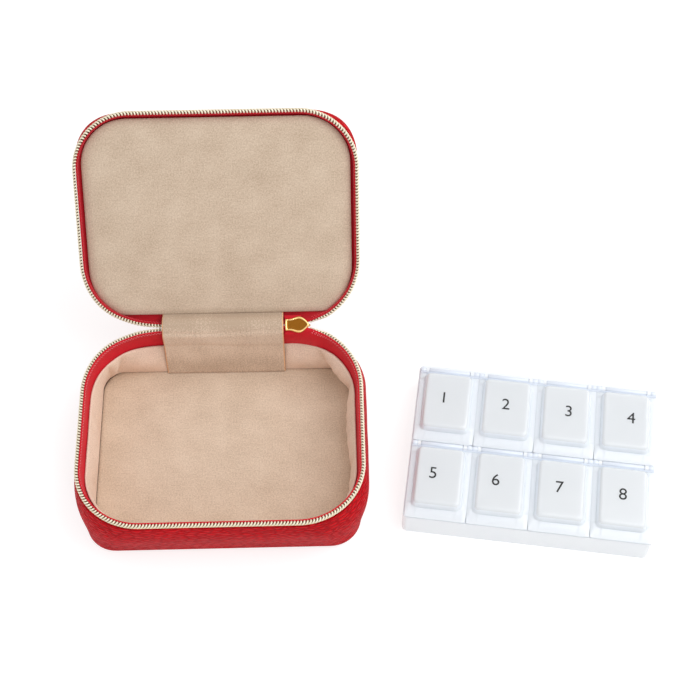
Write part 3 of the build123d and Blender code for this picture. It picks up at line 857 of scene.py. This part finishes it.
def bend_path(run, heading, lid_run, steps):
    """Places along a strip in (y, z): up the base, round the fold in an arc, and on along the lid."""
    half = OPEN_ANGLE / 2
    axis = np.array([HINGE_Y, HINGE_Z])
    end = np.array(run[-1]) - axis
    side = np.array([math.sin(half), math.cos(half)])
    lid_end = end - 2 * (end @ side) * side
    heading = np.array(heading) / np.linalg.norm(heading)
    normal = np.array([heading[1], -heading[0]])
    chord = lid_end - end
    radius = (chord @ chord) / (2 * (chord @ normal))
    centre = end + normal * radius
    start_angle = math.atan2(*(end - centre)[::-1])
    sweep = (math.atan2(*(lid_end - centre)[::-1]) - start_angle) % (-2 * math.pi)
    angles = start_angle + np.linspace(0, sweep, steps)
    arc = centre + abs(radius) * np.column_stack([np.cos(angles), np.sin(angles)])
    tail = opened(np.array([(0, *place) for place in lid_run]))[:, 1:] - axis
    up = []
    for low, high in zip(np.array(run), np.array(run[1:])):
        up += [low - axis + (high - low) * share for share in np.linspace(0, 1, RUN_STEPS)[:-1]]
    return np.vstack([up, arc, tail]) + axis


def strip_grid(path, thickness, uneven):
    """The two faces of a strip along a path in (y, z), as wide as the hinge, with rounded edges."""
    ahead = unit(np.gradient(path, axis=0))
    normal = np.column_stack([-ahead[:, 1], ahead[:, 0]])
    edge = thickness / 2
    inner = HINGE_HALF - STRIP_CHAMFER * thickness
    columns = [(-HINGE_HALF, 0.0)]
    columns += [(x, edge) for x in np.linspace(-inner, inner, HINGE_COLUMNS)]
    columns += [(HINGE_HALF, 0.0)]
    columns += [(x, -edge) for x in np.linspace(inner, -inner, HINGE_COLUMNS)]
    rows = []
    for x, offset in columns:
        lift = (offset + uneven(x, np.linspace(0, 1, len(path))))[:, None]
        rows.append(np.column_stack([np.full(len(path), x), path + normal * lift]))
    return np.array(rows)


def cloth_creases(x, share):
    """Soft creases across the strip, deeper towards one side, and a slack surface."""
    lift = np.zeros_like(share)
    for place, width, depth in CREASES:
        wander = 0.02 * math.sin(x * 0.11 + place * 9)
        dip = depth * np.exp(-(((share - place - wander) * CREASE_SHARPNESS / width) ** 2))
        lift -= dip * (0.75 + 0.25 * math.sin(x * 0.07 + place * 5))
    return lift + 0.12 * np.sin(share * 17 + x * 0.05)


def no_creases(x, share):
    """A strip that lies evenly."""
    return np.zeros_like(share)


path = bend_path([CLOTH_FOOT, CLOTH_KNEE, CLOTH_TOP], (0, 1), CLOTH_LID_RUN, CLOTH_BEND_STEPS)
grid = strip_grid(path, HINGE_CLOTH, cloth_creases)
hinge_cloth = woven("hinge_cloth_strip", grid, "rows")
# The strip has its own copy of the cloth, with a wider range of colour, so that with the painted shade bands
# it paints the light and shade on the strip.
strip_lit_colours = (paint(188, 165, 143), paint(219, 197, 175), paint(236, 216, 196))
strip_suede_painted_light = make_suede("strip_suede_painted_light", *strip_lit_colours, STRIP_PAINTED_SHADE)
cut_edge = make_suede("cut_edge", paint(214, 160, 112), paint(236, 188, 142), paint(248, 208, 168))
hinge_cloth.data.materials.append(strip_suede_painted_light)
hinge_cloth.data.materials.append(cut_edge)
for polygon in hinge_cloth.data.polygons:
    if polygon.index // (len(path) - 1) in (0, HINGE_COLUMNS):
        polygon.material_index = 1
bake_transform(hinge_cloth)
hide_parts("hinge_lining")

hide_foot = np.array(HIDE_FOOT)
hide_knee = hide_foot + 0.5 * (np.array([HINGE_Y, HINGE_Z]) - hide_foot)
path = bend_path([hide_foot, hide_knee], hide_knee - hide_foot, HIDE_LID_RUN, HIDE_BEND_STEPS)
grid = strip_grid(path, HINGE_HIDE, no_creases)
hinge_hide = woven("hinge_hide_strip", grid.swapaxes(0, 1), "columns")
hinge_hide.data.materials.append(red_leather)
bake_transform(hinge_hide)
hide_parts("hinge_leather")

# Leather of the lid: a low strip round its side, folded in behind the zip, and a panel over the top board.
# Both are glued on, of the same hide as the lower half, and meet in a fine seam round the top.
# The board is die-cut like the lower half's, and hidden inside.
LID_EDGE = 39.5
LID_SHOULDER = 43.2
LID_TOP = 45.3
LID_EDGE_OUTLINE = (63.3, 49.2, 50.8, 22.5, 29.5)
LID_SHOULDER_OUTLINE = (62.8, 47.9, 49.8, 18.0, 26.0)
LID_TOP_OUTLINE = (60.8, 45.6, 47.0, 13.5, 18.0)
LID_SIDE_BULGE = 0.25
LID_SHOULDER_BULGE = 0.4
LID_TOP_FALL = 0.5
LID_TOP_LUMPS = (12.0, 0.15)
LID_CARD_OUTLINE = (60.4, 45.6, 47.6, 17.0, 24.5)
LID_CARD_LOW = 42.3
LID_CARD_HIGH = 43.5
LID_CARD_EDGE = 0.2


def lid_side_section():
    """The lid's side: folded edge, outside up to the rounded shoulder, and inside down again."""
    hem = LEATHER / 2
    side = LID_SHOULDER - LID_EDGE - hem
    section = []
    for turn in np.radians([-150, -120, -90, -60, -30]):
        section.append((LID_EDGE_OUTLINE, hem * math.cos(turn) - hem, LID_EDGE + hem + hem * math.sin(turn)))
    for share in np.linspace(0, 1, 6):
        outset = LID_SIDE_BULGE * math.sin(math.pi * share)
        outline = mixed(LID_EDGE_OUTLINE, LID_SHOULDER_OUTLINE, share)
        section.append((outline, outset, LID_EDGE + hem + side * share))
    for share in np.linspace(0, 1, 7)[1:]:
        outset = LID_SHOULDER_BULGE * math.sin(math.pi * share)
        height = LID_SHOULDER + (LID_TOP - LID_SHOULDER) * math.sin(share * math.pi / 2)
        section.append((mixed(LID_SHOULDER_OUTLINE, LID_TOP_OUTLINE, share), outset, height))
    section.append((LID_TOP_OUTLINE, -LEATHER, LID_TOP))
    section.append((LID_TOP_OUTLINE, -LEATHER, LID_TOP - LEATHER))
    for share in (0.8, 0.0):
        outline = mixed(LID_EDGE_OUTLINE, LID_SHOULDER_OUTLINE, share)
        section.append((outline, -LEATHER, LID_EDGE + hem + side * share))
    return section


def top_crown(share):
    """A soft edge: the panel's face falls a little towards its seam."""
    return -LID_TOP_FALL * share ** 12


grid = opened(carried_round(lid_side_section(), all_round))
lid_side = woven("lid_side_skin", grid, "both")
dressed(lid_side, red_leather, "leather", "lid", "lid_side_leather")
top_panel = tuple(size - LEATHER for size in LID_TOP_OUTLINE)
grid = panel_grid(top_panel, LID_TOP - LEATHER, LID_TOP, HIDE_EDGE, level, top_crown)
flat_top = grid.copy()
grid[TOP_ROWS, :, 2] += lumps(grid[TOP_ROWS], *LID_TOP_LUMPS)
lid_top = woven("lid_top_skin", opened(grid), "columns", flat=flat_top)
dressed(lid_top, red_leather, "leather", "lid", "lid_top_leather")
grid = panel_grid(LID_CARD_OUTLINE, LID_CARD_LOW, LID_CARD_HIGH, LID_CARD_EDGE, level, level)
lid_card = woven("lid_top_card", opened(grid), "columns", flat=grid)
dressed(lid_card, grey_board, "board", "lid", "lid_board")

# Panel inside the lid: card with a thin foam, wrapped in the beige suede and pressed in over the tape.
# It is a padded piece with a soft rounded edge, slightly raised in the middle and cut straight at the rear.
PANEL_OUTLINE = (60.1, 47.2, 47.9, 21.2, 25.5)
PANEL_REAR_CUT = 44.4
PANEL_FACE = 35.9
PANEL_BACK = 37.9
PANEL_EDGE = 0.9
PANEL_CROWN = 0.35
PANEL_FALL = 0.9
PANEL_LUMPS = (16.0, 0.2)


def panel_face(share):
    """How far the panel's face stands out: full in the middle, falling at its edge."""
    return PANEL_CROWN * (1 - share ** 3) - PANEL_FALL * share ** 18


grid = panel_grid(PANEL_OUTLINE, PANEL_FACE, PANEL_BACK, PANEL_EDGE, panel_face, level)
reach = grid[..., 1].max(axis=1, keepdims=True) / PANEL_OUTLINE[2]
grid[..., 1] = np.minimum(grid[..., 1], PANEL_REAR_CUT * reach)
flat_panel = grid.copy()
grid[UNDER_ROWS, :, 2] += lumps(grid[UNDER_ROWS], *PANEL_LUMPS)
lid_panel = woven("lid_padded_panel", opened(grid), "columns", flat=flat_panel)
# The panel's suede is a darker copy of the beige cloth, as painted shade on the lid's tilted face.
panel_suede_shaded = make_suede("panel_suede_shaded", paint(184, 162, 140), paint(206, 185, 163), paint(223, 204, 183))
dressed(lid_panel, panel_suede_shaded, "suede", "lid", "lid_lining_panel")

# Closed end of the zip beside the hinge: the two rows meshed together, and the tape on either side of them.
# It lies half way between the two halves of the case and leads into the slider.
CHAIN_DROP = 0.5
CHAIN_START = 28.3
CHAIN_END = 36.2
CHAIN_ROW_OFFSET = 0.95
CHAIN_LOOP = (0, 0.7, 0.5)
CHAIN_WIRE = 0.3
CHAIN_RIBBON = [(1.9, 0.25), (3.2, 0.3), (4.6, 0.2), (4.6, -0.2), (3.2, -0.25), (1.9, -0.25)]
CHAIN_SIDES = [(1, -1, ["zip_end_coil"], ["zip_end_tape"]), (2, 1, [], [])]


def on_chain(points):
    """Points made flat on the chain, where the chain lies beside the hinge."""
    lowered = points + np.array([0, HINGE_Y, HINGE_Z - CHAIN_DROP])
    return turned(lowered, math.pi / 2 - OPEN_ANGLE / 2)


def chain_wire(side):
    """The wire of one of the two meshed rows."""
    loops = int((CHAIN_END - CHAIN_START) / PITCH)
    turn = np.linspace(0, loops * 2 * math.pi, loops * LOOP_STEPS)
    x = CHAIN_START + (CHAIN_END - CHAIN_START) * turn / turn[-1]
    middle = np.column_stack([x, np.full_like(x, side * CHAIN_ROW_OFFSET), np.zeros_like(x)])
    out = np.column_stack([np.zeros_like(x), side * np.sin(turn + side), np.cos(turn + side)])
    return wire_grid(middle + out * CHAIN_LOOP, out, CHAIN_WIRE, WIRE_SIDES)


def chain_ribbon(side):
    """The tape on one side of the meshed rows."""
    x = np.linspace(CHAIN_START, CHAIN_END, 12)
    rows = [np.column_stack([x, np.full_like(x, side * y), np.full_like(x, z)]) for y, z in CHAIN_RIBBON]
    return np.array(rows)


for number, side, coil_node, tape_node in CHAIN_SIDES:
    row = woven(f"zip_end_wire_{number}", on_chain(chain_wire(side)), "rows")
    dressed(row, champagne, "zip_coil", "zip_end", *coil_node)
    strip = woven(f"zip_end_ribbon_{number}", on_chain(chain_ribbon(side)), "rows")
    dressed(strip, red_tape, "zip_tape", "zip_end", *tape_node)

# Zip slider: die-cast, gold plated, two shield-shaped plates joined by a post, with flanges round the rows.
# The plates have a polished bevelled rim round a flat in darker gold, as a painted dark reflection on the
# flat, and a crown on the back holds the pull.
PLATE_SHAPE = [(28.8, 2.35), (30.4, 2.6), (32.0, 2.9), (33.4, 3.4), (34.9, 3.75), (36.4, 3.55), (37.9, 2.6),
               (39.3, 1.2), (39.9, 0.0)]
PLATE_STEPS = 96
PLATE_LOW = 1.2
PLATE = 1.0
PLATE_CENTRE = (34.4, 0.0)
PLATE_SECTION = [(2.6, 0.0), (0.25, 0.0), (0.0, 0.2), (0.0, 0.6), (0.25, 0.9), (0.55, 1.0), (0.8, 0.95),
                 (0.95, 0.82), (1.6, 0.82), (2.6, 0.82)]
PLATE_SUNK_ROWS = (7, 8)
FLANGE_RUN = (30.2, 36.2)
FLANGE_SIDE = (2.1, 2.7)
FLANGE_RISE = (0.5, 1.25)
FLANGE_EDGE = 0.12
DIVIDER_LOW = (37.0, -0.7, -1.25)
DIVIDER_HIGH = (39.7, 0.7, 1.25)
DIVIDER_EDGE = 0.3
CROWN_FOOT = (38.0, 0.0, -2.1)
CROWN_REACH = 2.05
CROWN_RISE = 2.15
CROWN_WIRE = 0.5
CROWN_STEPS = 17
PULL_EDGE = 0.15
GOLD_PLATING = (1.0, 1200.0, 0.8, 0.1)

bright_gold = make_plated("bright_gold", GOLD_PLATING, 0.16, paint(236, 190, 112), paint(255, 224, 160))
# A darker copy of the gold for the plates' sunk flats, as painted dark reflection.
gold_painted_reflection = make_plated("gold_painted_reflection", GOLD_PLATING, 0.28, paint(126, 78, 22), paint(152, 98, 32))


def smooth_outline(half_shape, steps):
    """A closed smooth outline through one side's points and the same points mirrored."""
    corners = np.array(half_shape + [(x, -y) for x, y in reversed(half_shape[:-1])])
    many = len(corners)
    spots = np.arange(steps) * many / steps
    index = spots.astype(int)
    t = (spots - index)[:, None]
    a, b, c, d = (corners[(index + k) % many] for k in (-1, 0, 1, 2))
    curve = 2 * b + (c - a) * t + (2 * a - 5 * b + 4 * c - d) * t ** 2 + (3 * b - a - 3 * c + d) * t ** 3
    return 0.5 * curve


def plate_grid(face):
    """A slider plate on one face of the chain: edge, bevelled rim and a sunk flat."""
    outline = smooth_outline(PLATE_SHAPE, PLATE_STEPS)
    centre = np.array(PLATE_CENTRE)
    reach = np.abs(outline - centre).max(axis=0)
    rows = []
    for inset, height in PLATE_SECTION:
        flat = centre + (outline - centre) * (1 - inset / reach)
        rows.append(np.column_stack([flat, np.full(PLATE_STEPS, face * (PLATE_LOW + PLATE * height))]))
    return np.array(rows)


def box_grid(low, high, edge):
    """A block with bevelled edges between two corners, as rings from end to end along X."""
    rows = []
    for x, inset in ((low[0], edge), (low[0] + edge, 0.0), (high[0] - edge, 0.0), (high[0], edge)):
        y0, y1, z0, z1 = low[1] + inset, high[1] - inset, low[2] + inset, high[2] - inset
        corner = edge if inset == 0 else edge * 0.5
        places = [(y0 + corner, z0), (y1 - corner, z0), (y1, z0 + corner), (y1, z1 - corner),
                  (y1 - corner, z1), (y0 + corner, z1), (y0, z1 - corner), (y0, z0 + corner)]
        rows.append([(x, y, z) for y, z in places])
    return np.array(rows)


def joined(name, parts):
    """One object made of several."""
    shape = bmesh.new()
    for part in parts:
        shape.from_mesh(part.data)
        bpy.data.objects.remove(part)
    mesh = bpy.data.meshes.new(name)
    shape.to_mesh(mesh)
    shape.free()
    return placed(name, mesh)


def slider_plate(face):
    """A plate on one face of the chain, with the sunk flat in a darker gold, as a painted dark reflection."""
    plate = woven("plate", on_chain(plate_grid(face)), "columns")
    for polygon in plate.data.polygons:
        sunk = polygon.index // PLATE_STEPS in PLATE_SUNK_ROWS or len(polygon.vertices) > 4
        polygon.material_index = 1 if sunk else 0
    return plate


def slider_flange(face, side):
    """A flange at one side of a plate, turned in towards the other plate."""
    y = sorted(side * reach for reach in FLANGE_SIDE)
    z = sorted(face * rise for rise in FLANGE_RISE)
    grid = box_grid((FLANGE_RUN[0], y[0], z[0]), (FLANGE_RUN[1], y[1], z[1]), FLANGE_EDGE)
    return woven("flange", on_chain(grid), "columns")


def slider_crown():
    """The loop on the back that holds the pull."""
    angles = np.linspace(0, math.pi, CROWN_STEPS)
    flat = np.zeros(CROWN_STEPS)
    out = np.column_stack([-CROWN_REACH * np.cos(angles), flat, -CROWN_RISE * np.sin(angles) ** 0.7])
    grid = wire_grid(out + CROWN_FOOT, out, CROWN_WIRE, 10)
    return woven("crown", on_chain(grid), "rows")


parts = []
for face in (1, -1):
    parts.append(slider_plate(face))
    parts += [slider_flange(face, side) for side in (1, -1)]
divider = on_chain(box_grid(DIVIDER_LOW, DIVIDER_HIGH, DIVIDER_EDGE))
parts.append(woven("divider", divider, "columns"))
parts.append(slider_crown())
slider = joined("slider_cast_body", parts)
dressed(slider, bright_gold, "gold", "slider", "slider_body")
slider.data.materials.append(gold_painted_reflection)
pull = frame["nodes"]["slider_pull"]
pull.material_slots[0].material = bright_gold
soften = pull.modifiers.new("edges", "BEVEL")
soften.width = PULL_EDGE * MM
soften.segments = 2

# Pill tray: one moulding of frosted polypropylene with eight cells, and hinge lugs at the back of each.
# Short rounded posts fill the hinge line between the lugs. It stands loose beside the case.
TRAY_PLACE = (140.3, -9.3)
TRAY_TURN = math.radians(-8.6)
CELLS = 8
CELLS_IN_ROW = 4
CELL_PITCH = (27.325, 38.85)
AXIS_AHEAD = 17.075
AXIS_HEIGHT = 15.5
POST = 1.38
POST_START = 11.2
POST_END = 13.66
ROD_SIDES = 24


def make_frosted(name, milky, dark, light):
    """Moulded plastic with a satin face and faint flow marks. milky is the share of light that enters it."""
    made, start = new_finish(name)
    satin = speckle(start, 300.0, 2.0)
    flow = speckle(start, 40.0, 2.0)
    coat(start, {
        "Base Color": colour_between(start, flow, dark, light),
        "Roughness": 0.3 + satin * 0.08,
        "IOR": 1.49,
        "Coat Weight": 0.6,
        "Coat Roughness": 0.12,
        "Subsurface Weight": milky,
        "Subsurface Radius": (1.0, 1.0, 1.0),
        "Subsurface Scale": 5 * MM,
    })
    return made


# The tray's plastic is a lighter copy than the lids', as painted light on its walls.
frosted_tray_lit = make_frosted("frosted_tray_lit", 0.2, paint(242, 247, 254), paint(249, 252, 255))
# The hinge parts' plastic is a darker, bluer copy, as painted shade in the valleys between the rows.
frosted_hinge_shaded = make_frosted("frosted_hinge_shaded", 0.0, paint(222, 229, 241), paint(230, 237, 247))
frame["nodes"]["organizer_tray"].material_slots[0].material = frosted_tray_lit


def on_tray(points):
    """Points made at the tray's own centre, where the tray lies."""
    cosine, sine = math.cos(TRAY_TURN), math.sin(TRAY_TURN)
    x = TRAY_PLACE[0] + points[..., 0] * cosine - points[..., 1] * sine
    y = TRAY_PLACE[1] + points[..., 0] * sine + points[..., 1] * cosine
    return np.stack([x, y, points[..., 2]], axis=-1)


def lid_pins(cell):
    """The middle of the pins of a cell's lid, made at the tray's own centre."""
    row, column = divmod(cell, CELLS_IN_ROW)
    return np.array([(column - 1.5) * CELL_PITCH[0], (0.5 - row) * CELL_PITCH[1] + AXIS_AHEAD, AXIS_HEIGHT])


def rod(low, high, radius, sides):
    """A round rod along X at the middle of the pins, with softened ends."""
    x = [low, low, low + 0.2, high - 0.2, high, high]
    sizes = [radius * share for share in (0.5, 0.85, 1.0, 1.0, 0.85, 0.5)]
    circle = [(math.cos(turn), math.sin(turn)) for turn in round_angles(sides)]
    return np.array([[(place, size * y, size * z) for y, z in circle] for place, size in zip(x, sizes)])


for cell in range(CELLS):
    posts = []
    for low, high in ((-POST_END, -POST_START), (POST_START, POST_END)):
        grid = on_tray(rod(low, high, POST, ROD_SIDES) + lid_pins(cell))
        posts.append(woven("post", grid, "columns"))
    dressed(joined(f"tray_post_{cell + 1}", posts), frosted_hinge_shaded, "frosted", "organizer")

# Cell lids: one small moulding for each cell, of the same plastic: a thin plate, a raised dome and a barrel.
# The barrel turns on pins between the tray's lugs, under a short hood, and a catch in front snaps under the
# cell's edge.
CELL_LID_HALF_WIDTH = 13.66
CELL_LID_BACK = -1.7
CELL_LID_FRONTS = [-37.44, -37.1]
CELL_LID_PLATE = 1.2
CELL_LID_CORNER = 0.7
CELL_LID_ROUNDING = 0.02
DOME_HALF_WIDTH = 11.4
DOME_BACK = -1.9
DOME_FRONT = -32.2
DOME_CORNER = 3.2
DOME_RISE = 3.2
DOME_EDGE = 2.4
DOME_WALL = 1.1
DOME_LINES = np.array([0, 0.12, 0.3, 0.6, 1.0, 1.5, 2.0, 2.5])
DOME_MIDDLE_FROM = 4.0
DOME_TOP_FROM = 0.7
BARREL = 1.3
BARREL_HALF = 9.4
BARREL_WEB = 1.0
PIN = 0.7
PIN_HALF = 11.2
PIN_SIDES = 16
HOOD_RADII = (1.5, 2.05)
HOOD_ANGLES = (140, 172)
CATCH_LOW = (-4.5, -35.55, -1.9)
CATCH_HIGH = (4.5, -34.55, -0.3)
CATCH_EDGE = 0.15
SHARP_ANGLE = math.radians(50)

frosted_plate = make_frosted("frosted_plate", 0.35, paint(232, 239, 249), paint(240, 246, 252))
# The dome's top is a greyer copy of the lids' plastic, as painted shade in the domes.
frosted_dome_shaded = make_frosted("frosted_dome_shaded", 0.35, paint(219, 224, 229), paint(225, 229, 233))


def inside_dome(u, v, inset):
    """How far a place lies inside the dome's foot, drawn in by an amount."""
    middle = (DOME_BACK + DOME_FRONT) / 2
    reach_v = (DOME_BACK - DOME_FRONT) / 2
    across = np.abs(u) - (DOME_HALF_WIDTH - DOME_CORNER)
    along = np.abs(v - middle) - (reach_v - DOME_CORNER)
    beyond = np.hypot(np.maximum(across, 0), np.maximum(along, 0)) + np.minimum(np.maximum(across, along), 0)
    return DOME_CORNER - beyond - inset


def dome_height(u, v, inset):
    """The dome's rise over its foot: a steep side that rounds over into a flat top."""
    t = np.clip(inside_dome(u, v, inset) / DOME_EDGE, 0, 1)
    return DOME_RISE * (1 - (1 - t) ** 2.6)


def lid_lines(low, high, foot_low, foot_high):
    """Grid lines over a lid, close together where the dome rises."""
    middle = np.linspace(foot_low + DOME_MIDDLE_FROM, foot_high - DOME_MIDDLE_FROM, 9)
    start = [low, low + CELL_LID_ROUNDING]
    end = [high - CELL_LID_ROUNDING, high]
    return np.concatenate([start, foot_low + DOME_LINES, middle, (foot_high - DOME_LINES)[::-1], end])


def lid_slab(front):
    """Points and faces of a lid's plate and hollow dome up to a front edge, made at its pins."""
    u = lid_lines(-CELL_LID_HALF_WIDTH, CELL_LID_HALF_WIDTH, -DOME_HALF_WIDTH, DOME_HALF_WIDTH)
    v = lid_lines(front, CELL_LID_BACK, DOME_FRONT, DOME_BACK)
    u, v = np.meshgrid(u, v)
    top = CELL_LID_PLATE / 2 + dome_height(u, v, 0.0)
    under = -CELL_LID_PLATE / 2 + dome_height(u, v, DOME_WALL)
    corner = CELL_LID_CORNER
    middle = (CELL_LID_BACK + front) / 2
    reach = (CELL_LID_HALF_WIDTH - corner, (CELL_LID_BACK - front) / 2 - corner)
    out_u = np.maximum(np.abs(u) - reach[0], 0)
    out_v = np.maximum(np.abs(v - middle) - reach[1], 0)
    out = np.hypot(out_u, out_v)
    short = np.where(out > corner, corner / np.maximum(out, 1e-6), 1.0)
    u = np.where(out > corner, np.sign(u) * (reach[0] + out_u * short), u)
    v = np.where(out > corner, middle + np.sign(v - middle) * (reach[1] + out_v * short), v)
    rim = np.full_like(u, CELL_LID_ROUNDING)
    rim[1:-1, 1:-1] = 0
    faces_up = np.stack([u, v, top - rim], -1).reshape(-1, 3)
    faces_down = np.stack([u, v, under + rim], -1).reshape(-1, 3)
    index = np.arange(u.size).reshape(u.shape)
    quads = np.stack([index[:-1, :-1], index[:-1, 1:], index[1:, 1:], index[1:, :-1]], -1).reshape(-1, 4)
    below = quads[:, ::-1] + u.size
    border = np.concatenate([index[0, :-1], index[:-1, -1], index[-1, :0:-1], index[:0:-1, 0]])
    after = np.roll(border, -1)
    sides = np.stack([after, border, border + u.size, after + u.size], -1)
    return np.concatenate([faces_up, faces_down]), np.concatenate([quads, below, sides]).tolist()


def hood_grid():
    """A rounded lip over the pins, as wide as the lid."""
    low, high = -CELL_LID_HALF_WIDTH, CELL_LID_HALF_WIDTH
    inner, outer = HOOD_RADII
    angles = np.radians(np.linspace(*HOOD_ANGLES[::-1], 6))
    arc = [(outer * math.cos(angle), outer * math.sin(angle)) for angle in angles]
    arc += [(inner * math.cos(angle), inner * math.sin(angle)) for angle in angles[::-1]]
    return np.array([[(x, y, z) for y, z in arc] for x in (low, low + 0.1, high - 0.1, high)])


def cell_lid(name, pins, front):
    """A whole lid at its pins, up to a front edge. The dome's top takes a greyer copy of the plastic, as
    painted shade, and the hinge parts a darker, bluer copy, as painted shade between the rows.
    """
    points, faces = lid_slab(front)
    slab = smooth_piece("slab", on_tray(points + pins), faces)
    top_from = CELL_LID_PLATE / 2 + DOME_RISE * DOME_TOP_FROM
    painted_shade_top = np.array([np.mean(points[face, 2]) > top_from for face in faces])
    slab.data.polygons.foreach_set("material_index", painted_shade_top.astype(np.int32))
    half_plate = CELL_LID_PLATE / 2
    web_low = (-BARREL_HALF, CELL_LID_BACK - BARREL_WEB, -half_plate)
    grids = [
        rod(-BARREL_HALF, BARREL_HALF, BARREL, ROD_SIDES),
        rod(-PIN_HALF, PIN_HALF, PIN, PIN_SIDES),
        box_grid(web_low, (BARREL_HALF, 0.0, half_plate), 0.1),
        hood_grid(),
        box_grid(CATCH_LOW, CATCH_HIGH, CATCH_EDGE),
    ]
    parts = [slab]
    for grid in grids:
        part = woven("hinge", on_tray(grid + pins), "columns")
        part.data.polygons.foreach_set("material_index", np.full(len(part.data.polygons), 2, dtype=np.int32))
        parts.append(part)
    lid = joined(name, parts)
    lid.data.set_sharp_from_angle(angle=SHARP_ANGLE)
    return lid


for cell in range(CELLS):
    front = CELL_LID_FRONTS[cell // CELLS_IN_ROW]
    lid = cell_lid(f"cell_lid_{cell + 1}", lid_pins(cell), front)
    dressed(lid, frosted_plate, "frosted", f"day_lid_{cell + 1}", f"day_lid_{cell + 1}")
    lid.data.materials.append(frosted_dome_shaded)
    lid.data.materials.append(frosted_hinge_shaded)

# Numbers on the lids: plain black figures, one to eight, printed in ink on the flat of each dome.
# Each stands a little aside of its dome's middle, and moves with its lid.
FIGURE_SIZE = 8.0
FIGURE_THICKNESS = 0.05
FIGURE_PLACES = [-16.0, -16.2]
FIGURE_SHIFTS = [-1.6, -0.4, 1.1, 2.3, -2.8, -2.1, -1.1, -0.2]
FIGURE_HEIGHT = CELL_LID_PLATE / 2 + DOME_RISE + FIGURE_THICKNESS / 2


def make_ink():
    """Printing ink with a slight unevenness."""
    made, start = new_finish("black_ink")
    speck = speckle(start, 900.0, 2.0)
    colour = colour_between(start, speck, paint(8, 9, 11), paint(20, 21, 24))
    coat(start, {"Base Color": colour, "Roughness": 0.45 + speck * 0.1})
    return made


ink = make_ink()


def figure(name, text):
    """A printed figure as a thin mesh, flat and centred, in millimetres."""
    words = bpy.data.curves.new(name, "FONT")
    words.body = text
    words.size = FIGURE_SIZE
    words.extrude = FIGURE_THICKNESS / 2
    words.align_x = "CENTER"
    words.align_y = "CENTER"
    words.resolution_u = 6
    holder = placed(name, words)
    ready = holder.evaluated_get(bpy.context.evaluated_depsgraph_get())
    mesh = bpy.data.meshes.new_from_object(ready)
    bpy.data.objects.remove(holder)
    return placed(name, mesh)


for cell in range(CELLS):
    printed = figure(f"figure_{cell + 1}", str(cell + 1))
    points = np.array([vertex.co for vertex in printed.data.vertices])
    aside = np.array([FIGURE_SHIFTS[cell], FIGURE_PLACES[cell // CELLS_IN_ROW], FIGURE_HEIGHT])
    printed.data.vertices.foreach_set("co", (on_tray(points + lid_pins(cell) + aside) * MM).ravel())
    printed.data.update()
    dressed(printed, ink, "frosted", f"day_lid_{cell + 1}")

# Studio: a plain white floor, a soft pale world, a large soft lamp from the upper right, two small lamps that
# put glints on the plastic, and the camera. The floor and the world glow more towards the camera than towards
# the object, so that they read as white around soft shadows.
CAMERA_PLACE = Vector((49.7, -323.9, 626.6)) * MM
CAMERA_AIM = Vector((58.95, 55.9, 0.0)) * MM
LENS = 77.86
SENSOR = 36.0
WORLD_LEVEL = 0.75
LAMPS = [
    ("softbox", (0.65, 0.02, 1.0), 0.9, 5.8),
    ("front_glint", (0.3, -0.8, 0.45), 0.14, 0.6),
    ("right_glint", (0.85, 0.36, 0.36), 0.1, 0.4),
]
LAMP_AIM = Vector((0.05, 0.02, 0.0))
FLOOR_SIZE = 3.0
FLOOR_GREY = (0.45, 0.45, 0.45, 1)
FLOOR_GLOW = 0.38
FLOOR_GLOW_SEEN = 0.7
WHITE = (1, 1, 1, 1)


def seen_directly(start):
    """1 for rays from the camera and for those that shiny or clear surfaces send on, and 0 for the rest."""
    rays = start.node("LightPath").output.node
    names = ("Is Camera Ray", "Is Glossy Ray", "Is Transmission Ray")
    camera_ray, glossy_ray, clear_ray = (Socket(start.tree, rays.outputs[name]) for name in names)
    return start.math("MAXIMUM", start.math("MAXIMUM", camera_ray, glossy_ray), clear_ray)


floor_mesh = bpy.data.meshes.new("floor")
corners = [(x * FLOOR_SIZE, y * FLOOR_SIZE, 0) for x, y in ((-1, -1), (1, -1), (1, 1), (-1, 1))]
floor_mesh.from_pydata(corners, [], [(0, 1, 2, 3)])
floor = placed("studio_floor", floor_mesh)
floor_paint, start = new_finish("studio_white")
matt = start.node("BsdfDiffuse", {}, {"Color": FLOOR_GREY})
strength = FLOOR_GLOW + seen_directly(start) * (FLOOR_GLOW_SEEN - FLOOR_GLOW)
glow = start.node("Emission", {}, {"Color": WHITE, "Strength": strength})
both = start.node("AddShader", {}, {0: matt, 1: glow})
start.node("OutputMaterial", {}, {"Surface": both})
floor_mesh.materials.append(floor_paint)

world = bpy.data.worlds.new("studio")
world.use_nodes = True
world.node_tree.nodes.clear()
sky = Socket(world.node_tree)
strength = WORLD_LEVEL + seen_directly(sky) * (1 - WORLD_LEVEL)
backdrop = sky.node("Background", {}, {"Color": WHITE, "Strength": strength})
sky.node("OutputWorld", {}, {"Surface": backdrop})
bpy.context.scene.world = world

for name, place, size, power in LAMPS:
    lamp_data = bpy.data.lights.new(name, "AREA")
    lamp_data.size = size
    lamp_data.energy = power
    lamp = placed(name, lamp_data)
    lamp.location = place
    lamp.rotation_euler = (LAMP_AIM - lamp.location).to_track_quat("-Z", "Y").to_euler()

camera_data = bpy.data.cameras.new("camera")
camera_data.lens = LENS
camera_data.sensor_width = SENSOR
camera_data.sensor_fit = "HORIZONTAL"
camera = placed("camera", camera_data)
camera.location = CAMERA_PLACE
camera.rotation_euler = (CAMERA_AIM - CAMERA_PLACE).to_track_quat("-Z", "Y").to_euler()
bpy.context.scene.camera = camera
bpy.context.scene.view_settings.view_transform = "Standard"
